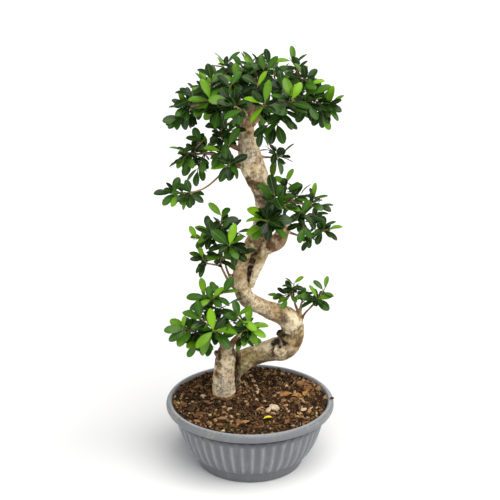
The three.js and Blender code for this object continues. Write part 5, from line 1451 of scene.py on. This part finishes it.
def grow_twigs():
    """Every shoot with its curve: spray name, number in it, at, span, tip, leaf length, young count, angles."""
    shoots = []

    def keep(spray, number, curve, shoot, packed):
        tip, length, young, angles = shoot
        shoots.append({"spray": spray, "number": number, "at": curve[0], "span": curve[1], "tip": tip,
                       "length": length, "young": young, "angles": angles, "packed": packed})

    for spray, (limb, *own) in SPRAYS.items():
        line = LIMBS[limb]

        def limb_at(t, line=line):
            return along(line, t * (len(line) - 1))[:3]

        main = None
        for number, shoot in enumerate(own):
            curve = twig_curve(main, shoot[0], SIDE_START) if main else twig_curve(limb_at, shoot[0])
            main = main or curve[0]
            keep(spray, number, curve, shoot, True)
        for number, shoot in enumerate(SPARE_SHOOTS.get(spray, ()), len(own)):
            keep(spray, number, twig_curve(main, shoot[0], SPARE_START), shoot, False)
    return shoots


def spray_vertices(name):
    """The corners of a packed spray in millimetres, ready to look up."""
    corners = rows_of(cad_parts[name].data) / MM
    tree = KDTree(len(corners))
    for i, corner in enumerate(corners):
        tree.insert(corner, i)
    tree.balance()
    return tree


def light_of(spray):
    return max([light for start, light in LIGHT_SPRAYS.items() if spray.startswith(start)] or [0])


def drawn_age(ages, chance):
    most, power = ages
    return most * chance.uniform() ** power


def looks_of(spray, age, form, chance):
    """What a leaf needs besides its place, with fold and width drawn between the ends that form gives."""
    looks = {"spray": spray, "age": min(age, 1.0), "shade": chance.uniform(0, 1)}
    for key, ends in form.items():
        looks[key] = chance.uniform(*ends)
    return looks


def grow_leaves(shoots, settings):
    """All leaves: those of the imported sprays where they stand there, then spare ones further back."""
    wood = np.concatenate([smooth_path(piece, WOOD_STEP) for piece in (*BODY, *LIMBS.values())])
    room = LeafRoom(wood)
    chance = np.random.default_rng(settings.seed)
    leaves, lost, seed = [], [], 0
    corners, known = None, None
    for shoot in shoots:
        if shoot["spray"] != known:
            known = shoot["spray"]
            corners = spray_vertices(known)
        front = front_of(shoot["tip"])
        for index, angle in enumerate(shoot["angles"]):
            seed += shoot["packed"]
            source = draws(seed * 7919) if shoot["packed"] else draws(index + 31 * round(shoot["tip"][0]))
            random = [next(source) for _ in range(4)]
            tries = [leaf_of(shoot["at"], shoot["span"], index, angle, shoot["length"], front, random, attempt)
                     for attempt in TRIES]
            found = shoot["packed"] and next(
                (leaf for leaf in tries if corners.find(rib_at(leaf, 1))[2] < MATCH_MM), None)
            young = index < shoot["young"]
            age = chance.uniform(*YOUNG_AGE) if young else drawn_age(GROWN_AGE, chance) + light_of(known)
            looks = looks_of(known, age, YOUNG_FORM if young else GROWN_FORM, chance)
            if found:
                leaves.append({**found, **looks})
                room.take(blade_samples(found))
            else:
                lost.append((tries, looks))
    for tries, looks in lost:
        found = next((leaf for leaf in tries if room.free(blade_samples(leaf))), None)
        if found:
            leaves.append({**found, **looks})
            room.take(blade_samples(found))
    leaves += spare_leaves(shoots, settings, room, chance)
    leaves += [bud_of(shoot, chance) for shoot in shoots]
    return leaves


def spare_leaves(shoots, settings, room, chance):
    """Older and darker leaves on the bare part of each twig, the darkness partly painted shade, turned round it and
    kept clear of the others.
    """
    spare = []
    for shoot in shoots:
        at, span, front = shoot["at"], shoot["span"], front_of(shoot["tip"])
        count = round(len(shoot["angles"]) * settings.spare) + 1
        used = FIRST_LEAF + LEAF_STEP * len(shoot["angles"])
        for k in range(count):
            t = 1 - (used + SPARE_STEP * k) / span
            if t < 0.12:
                t = chance.uniform(0.15, 0.9)
            axis = unit(at(min(1, t + 0.02)) - at(max(0, t - 0.02)))
            seed = np.array((0, 0, 1.0)) if abs(axis[2]) < 0.9 else np.array((1.0, 0, 0))
            side = unit(np.cross(axis, seed))
            for attempt in range(SPARE_TRIES):
                turn = GOLDEN_ANGLE * (k + 1) + attempt * 0.9 + chance.uniform(-0.3, 0.3)
                radial = side * math.cos(turn) + np.cross(axis, side) * math.sin(turn)
                way = unit(radial + axis * chance.uniform(0.35, 1.1) + np.array((0, -0.12 * front, 0.12)))
                sky = np.array((0, -0.5 * front, 0.85)) + chance.normal(0, 0.34, 3)
                up = unit(sky - way * (sky @ way))
                leaf = {"seat": at(t), "way": way, "up": up,
                        "length": shoot["length"] * chance.uniform(*SPARE_LENGTH) * (1 - 0.03 * attempt),
                        "arch": chance.uniform(*SPARE_ARCH)}
                places = blade_samples(leaf)
                if room.free(places):
                    room.take(places)
                    light = SPARE_LIGHT * light_of(shoot["spray"])
                    # Darker the further back a leaf sits: older, and in painted shade
                    age = drawn_age(SPARE_AGE_AND_SHADE, chance) + light - SPARE_OLDER_AND_SHADED * k
                    spare.append({**leaf, **looks_of(shoot["spray"], age, SPARE_FORM, chance)})
                    break
    return spare


def bud_of(shoot, chance):
    """The pointed sheath at a shoot's tip."""
    at = shoot["at"]
    way = unit(at(1.0) - at(0.93) + np.array((0, 0, 0.4)))
    side = unit(np.cross(way, (0.3, 0.9, 0.2)))
    return {"seat": at(0.985), "way": way, "up": np.cross(side, way), "length": chance.uniform(*BUD_LENGTH),
            "arch": 0.05, "fold": 0.0, "width": BUD_WIDTH, "age": chance.uniform(*BUD_AGE), "shade": 0.5,
            "spray": shoot["spray"]}


def blade_half(s):
    """Half the width of a blade at a share of its length: a thin stalk, then an egg with its wide end out."""
    if s <= PETIOLE_SHARE:
        return PETIOLE_HALF
    t = (s - PETIOLE_SHARE) / (1 - PETIOLE_SHARE)
    egg = t ** EGG_START * (1 - t) ** EGG_END
    return max(PETIOLE_HALF * (1 - t), BLADE_HALF * egg / EGG_PEAK)


def blade_object():
    """One flat leaf of a few dozen faces: its points hold share along, share across and lift."""
    points, blades, margins = [], [], []
    tops, bottoms = [], []
    for s in BLADE_ROWS:
        half = 0 if s == 1 else blade_half(s)
        top, bottom = [], []
        for b in BLADE_ACROSS if half else (0,):
            lift = (0.6 if s <= PETIOLE_SHARE else 1.0) * (1 - b * b) if s < 1 else 0.0
            edge = abs(b) == 1 or s == 1
            for side, row in ((1, top), (-1, bottom)):
                if side == -1 and edge:
                    row.append(top[len(row)])
                    continue
                row.append(len(points))
                points.append((s * FLAT_LENGTH, b * half * FLAT_LENGTH, side * lift * FLAT_LIFT))
                blades.append((s, b * half, side * lift))
                margins.append(b)
        tops.append(top)
        bottoms.append(bottom)
    faces = []
    for i in range(len(BLADE_ROWS) - 1):
        for k in range(len(BLADE_ACROSS) - 1):
            for rows, outward in ((tops, True), (bottoms, False)):
                low, high = rows[i], rows[i + 1]
                corners = [low[k], low[k + 1]] + ([high[k + 1], high[k]] if len(high) > 1 else [high[0]])
                faces.append(corners[::-1] if outward else corners)
    faces.append([*tops[0], *bottoms[0][-2:0:-1]])
    made = mesh_object("leaf_blade", points, faces)
    store(made.data, "blade", blades, "FLOAT_VECTOR")
    store(made.data, "margin", margins)
    rims = {index for row in tops for index in (row[0], row[-1])}
    flags = [rims.issuperset(edge.vertices) for edge in made.data.edges]
    store(made.data, "sharp_edge", flags, "BOOLEAN", "EDGE")
    shade_smooth(made.data)
    return made


def leaf_tree():
    """Puts a blade on each point and bends it to that leaf's way, length, arch, fold and width."""
    growth = Growth("Grow leaves", (
        ("Blade", "NodeSocketObject", None),
        ("Thickness", "NodeSocketFloat", 0.0003),
        ("Wave", "NodeSocketFloat", 0.02),
    ))
    inputs, times, plus, named = growth.inputs, growth.times, growth.plus, growth.named
    blade = growth.add("GeometryNodeObjectInfo", {"Object": inputs["Blade"]}).outputs["Geometry"]
    pieces = {"Points": inputs["Geometry"], "Instance": blade}
    placed = growth.add("GeometryNodeInstanceOnPoints", pieces).outputs[0]
    real = growth.add("GeometryNodeRealizeInstances", {"Geometry": placed}).outputs[0]
    along_share, across_share, side = growth.parts(named("blade", "FLOAT_VECTOR"))
    length, way, up = named("length"), named("way", "FLOAT_VECTOR"), named("up", "FLOAT_VECTOR")
    out = times(length, along_share)
    aside = times(length, across_share, named("width"))
    sag = times(out, along_share, named("arch"))
    raised = times(growth.maths("ABSOLUTE", aside), named("fold"))
    phase = plus(times(along_share, 8.0), times(named("shade"), 30.0))
    wave = times(growth.maths("SINE", phase), times(named("margin"), aside, inputs["Wave"]))
    lift = times(side, inputs["Thickness"])
    height = growth.maths("SUBTRACT", plus(plus(raised, wave), lift), sag)
    place = named("seat", "FLOAT_VECTOR")
    for direction, distance in ((way, out), (growth.vectors("CROSS_PRODUCT", way, up), aside), (up, height)):
        place = growth.vectors("ADD", place, growth.scaled(direction, distance))
    return growth.end(growth.add("GeometryNodeSetPosition", {"Geometry": real, "Position": place}).outputs[0])


def leaf_material(settings):
    paint = Paint("ficus_leaf", DARKEST_SHADED_LEAVES)
    out, across, side = paint.parts(paint.attribute("blade", "Vector"))
    across = paint.maths("ABSOLUTE", across)
    age, fine = paint.attribute("age"), paint.grain(520)
    # Ages below nought, reached only by spare leaves far back on their twigs, run to the darkest green as painted shade
    paint.coat(settings.old, paint.band(age, -0.4, 0.0))
    paint.coat(settings.ripe, paint.band(age, 0.0, 0.5))
    paint.coat(settings.young, paint.band(age, 0.45, 0.95))
    tone = paint.plus(paint.grain(70), paint.times(paint.attribute("shade"), 0.4))
    paint.coat(LIT_LEAVES, paint.band(tone, 0.6, 1.0), 0.4)
    side_veins = paint.maths("SINE", paint.maths("SUBTRACT", paint.times(out, 58.0), paint.times(across, 62.0)))
    side_veins = paint.times(paint.band(side_veins, 0.82, 1.0), 0.16)
    midrib = paint.times(paint.band(across, 0.006, 0.022, 1.0, 0.0), 0.55)
    veins = paint.larger(midrib, side_veins)
    paint.coat(paint.mix(0.45, paint.colour, LEAF_VEINS), veins)
    margin = paint.maths("ABSOLUTE", paint.attribute("margin"))
    paint.coat(LEAF_MARGIN, paint.band(margin, 0.55, 1.0, 0.0, 0.35))
    paint.coat(LEAF_STALK, paint.band(out, 0.06, 0.14, 0.8, 0.0))
    below = paint.band(side, -0.02, 0.02, 1.0, 0.0)
    paint.coat(settings.under, below, 0.7)
    gloss = paint.plus(paint.band(fine, 0.3, 0.7, 0.18, 0.28), paint.times(below, 0.3))
    ripples = paint.plus(paint.times(veins, -0.8), paint.times(fine, 0.25))
    return paint.finished(gloss, 0.2, (ripples, 0.5, 0.0008))


def leaf_points(name, leaves):
    """A point for each leaf, in metres, with what its blade needs."""
    seats = np.array([leaf["seat"] for leaf in leaves]) * MM
    source = mesh_object(name, seats)
    store(source.data, "seat", seats, "FLOAT_VECTOR")
    for key in ("way", "up"):
        store(source.data, key, [leaf[key] for leaf in leaves], "FLOAT_VECTOR")
    store(source.data, "length", [leaf["length"] * MM for leaf in leaves])
    for key in ("arch", "fold", "width", "age", "shade"):
        store(source.data, key, [leaf[key] for leaf in leaves])
    return source


def dry_leaf_material():
    paint = Paint("dry_leaf", DRY_BROWN)
    across = paint.maths("ABSOLUTE", paint.parts(paint.attribute("blade", "Vector"))[1])
    age, blotches = paint.attribute("age"), paint.grain(240, 4, 0.65)
    paint.coat(DRY_TAN, paint.band(age, 0.0, 0.3))
    paint.coat(DRY_YELLOW, paint.band(age, 0.5, 1.0))
    paint.coat(DRY_BLOTCHES, paint.band(blotches, 0.45, 0.65, 0.0, 0.6))
    paint.coat(DRY_RIB, paint.band(across, 0.006, 0.022, 0.5, 0.0))
    return paint.finished(0.7, bumps=(blotches, 0.5, 0.0012))


def fallen_leaves():
    """Dry leaves that lie on the soil, curled up."""
    chance = np.random.default_rng(5)
    fallen = []
    for x, y, lift, length, turn, age in FALLEN_LEAVES:
        a = math.radians(turn)
        way = unit(np.array((math.cos(a), math.sin(a), 0.16)))
        up = np.array((0, 0, 1.0)) + chance.normal(0, 0.12, 3)
        up = unit(up - way * (up @ way))
        fallen.append({"seat": np.array((x, y, soil_height(x, y) + lift)), "way": way, "up": up, "length": length,
                       "arch": chance.uniform(0.14, 0.3), "fold": chance.uniform(0.3, 0.7), "width": 1.05,
                       "age": age, "shade": chance.uniform(0, 1)})
    return fallen


class BONSAI_OT_twigs(bpy.types.Operator):
    """Grow the bare limbs and the thin twigs"""

    bl_idname = "bonsai.twigs"
    bl_label = "Limbs and twigs"

    def execute(self, context):
        material = twig_material(context.scene.bonsai_bark)
        paths = [smooth_path(limb, PATH_STEP) for limb in LIMBS.values()]
        for path in paths:
            path[:, 3] *= SLIM_SHARE + (1 - SLIM_SHARE) * smooth_step(path[:, 3], *SLIM_RADII)
        finish_piece(tubes("bare_limbs", paths, LIMB_SIDES, material))
        paths = []
        for shoot in grow_twigs():
            thick = SIDE_THICK if shoot["number"] else MAIN_THICK
            count = max(6, round(shoot["span"] / PATH_STEP))
            paths.append(np.array([
                (*shoot["at"](k / count), thick + (TIP_THICK - thick) * k / count) for k in range(count + 1)]))
        finish_piece(tubes("thin_twigs", paths, TWIG_SIDES, material))
        return {"FINISHED"}


class BONSAI_OT_leaves(bpy.types.Operator):
    """Grow the leaves, one mesh for each part of the tree"""

    bl_idname = "bonsai.leaves"
    bl_label = "Leaves"

    def execute(self, context):
        settings = context.scene.bonsai_leaves
        leaves = grow_leaves(grow_twigs(), settings)
        tree = leaf_tree()
        inputs = {"Blade": blade_object(), "Thickness": BLADE_THICK * MM, "Material": leaf_material(settings)}
        for name, starts in LEAF_PIECES.items():
            own = [leaf for leaf in leaves if leaf["spray"].startswith(starts)]
            sprays = sorted(spray for spray in SPRAYS if spray.startswith(starts))
            finish_piece(grown_by(tree, leaf_points(name, own), name, inputs), sprays)
        inputs.update({"Wave": FALLEN_WAVE, "Material": dry_leaf_material()})
        finish_piece(grown_by(tree, leaf_points("fallen_leaves", fallen_leaves()), "fallen_leaves", inputs))
        drop(inputs["Blade"])
        return {"FINISHED"}


# Stage

def broad_light(name, place, width, strength, colour):
    """Light from a wide patch of the sky in the direction of place, as even near as far."""
    lamp = bpy.data.lights.new(name, "SUN")
    lamp.angle, lamp.energy, lamp.color = math.radians(width), strength, colour
    made = new_object(name, lamp)
    made.location = place
    made.rotation_mode = "QUATERNION"
    made.rotation_quaternion = (-Vector(place)).to_track_quat("-Z", "Y")


class BONSAI_OT_stage(bpy.types.Operator):
    """Set the pale floor, the soft lights and the camera"""

    bl_idname = "bonsai.stage"
    bl_label = "Stage"

    def execute(self, context):
        settings = context.scene.bonsai_stage
        corners = [(x * FLOOR_HALF, y * FLOOR_HALF, 0) for x, y in ((-1, -1), (1, -1), (1, 1), (-1, 1))]
        floor = mesh_object("floor", corners, [(0, 1, 2, 3)])
        paint = Paint("pale_floor", settings.floor)
        paint.coat(FLOOR_CLOUDS, paint.grain(3))
        floor.data.materials.append(paint.finished(0.9))
        world = bpy.data.worlds.new("white_surroundings")
        world.use_nodes = True
        sky = Nodes(world.node_tree)
        height = sky.parts(sky.add("ShaderNodeTexCoord").outputs["Generated"])[2]
        background = world.node_tree.nodes["Background"].inputs
        sky.fill(background["Color"], (1, 1, 1, 1))
        sky.fill(background["Strength"], sky.band(height, *SKY_BAND, settings.horizon, settings.sky))
        context.scene.world = world
        for name, place, width, setting, share, colour in LIGHTS:
            broad_light(name, place, width, share * getattr(settings, setting), colour)
        data = bpy.data.cameras.new("camera")
        data.lens = settings.lens
        data.sensor_width = SENSOR_WIDTH
        data.clip_start, data.clip_end = CAMERA_CLIP
        camera = new_object("camera", data)
        camera.location = CAMERA_PLACE
        camera.rotation_euler = (math.radians(CAMERA_ANGLE), 0, 0)
        context.scene.camera = camera
        context.scene.view_settings.view_transform = "Standard"
        return {"FINISHED"}


class BONSAI_PT_sidebar(bpy.types.Panel):
    """Lists the pieces and their sizes"""

    bl_label = "Bonsai"
    bl_space_type = "VIEW_3D"
    bl_region_type = "UI"
    bl_category = "Bonsai"

    def draw(self, context):
        for operator in OPERATORS:
            self.layout.operator(operator.bl_idname)
        for name, group in SETTINGS.items():
            box = self.layout.box()
            for key in group.__annotations__:
                box.prop(getattr(context.scene, name), key)


OPERATORS = (BONSAI_OT_stage, BONSAI_OT_bowl, BONSAI_OT_soil, BONSAI_OT_trunk, BONSAI_OT_twigs, BONSAI_OT_leaves)


def register():
    for item in (*SETTINGS.values(), *OPERATORS, BONSAI_PT_sidebar):
        bpy.utils.register_class(item)
    for name, group in SETTINGS.items():
        setattr(bpy.types.Scene, name, PointerProperty(type=group))


def unregister():
    for name in SETTINGS:
        delattr(bpy.types.Scene, name)
    for item in reversed((*SETTINGS.values(), *OPERATORS, BONSAI_PT_sidebar)):
        bpy.utils.unregister_class(item)


def main():
    register()
    bpy.ops.bonsai.stage()
    bpy.ops.bonsai.bowl()
    bpy.ops.bonsai.soil()
    bpy.ops.bonsai.trunk()
    bpy.ops.bonsai.twigs()
    bpy.ops.bonsai.leaves()
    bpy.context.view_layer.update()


if __name__ == "__main__":
    main()
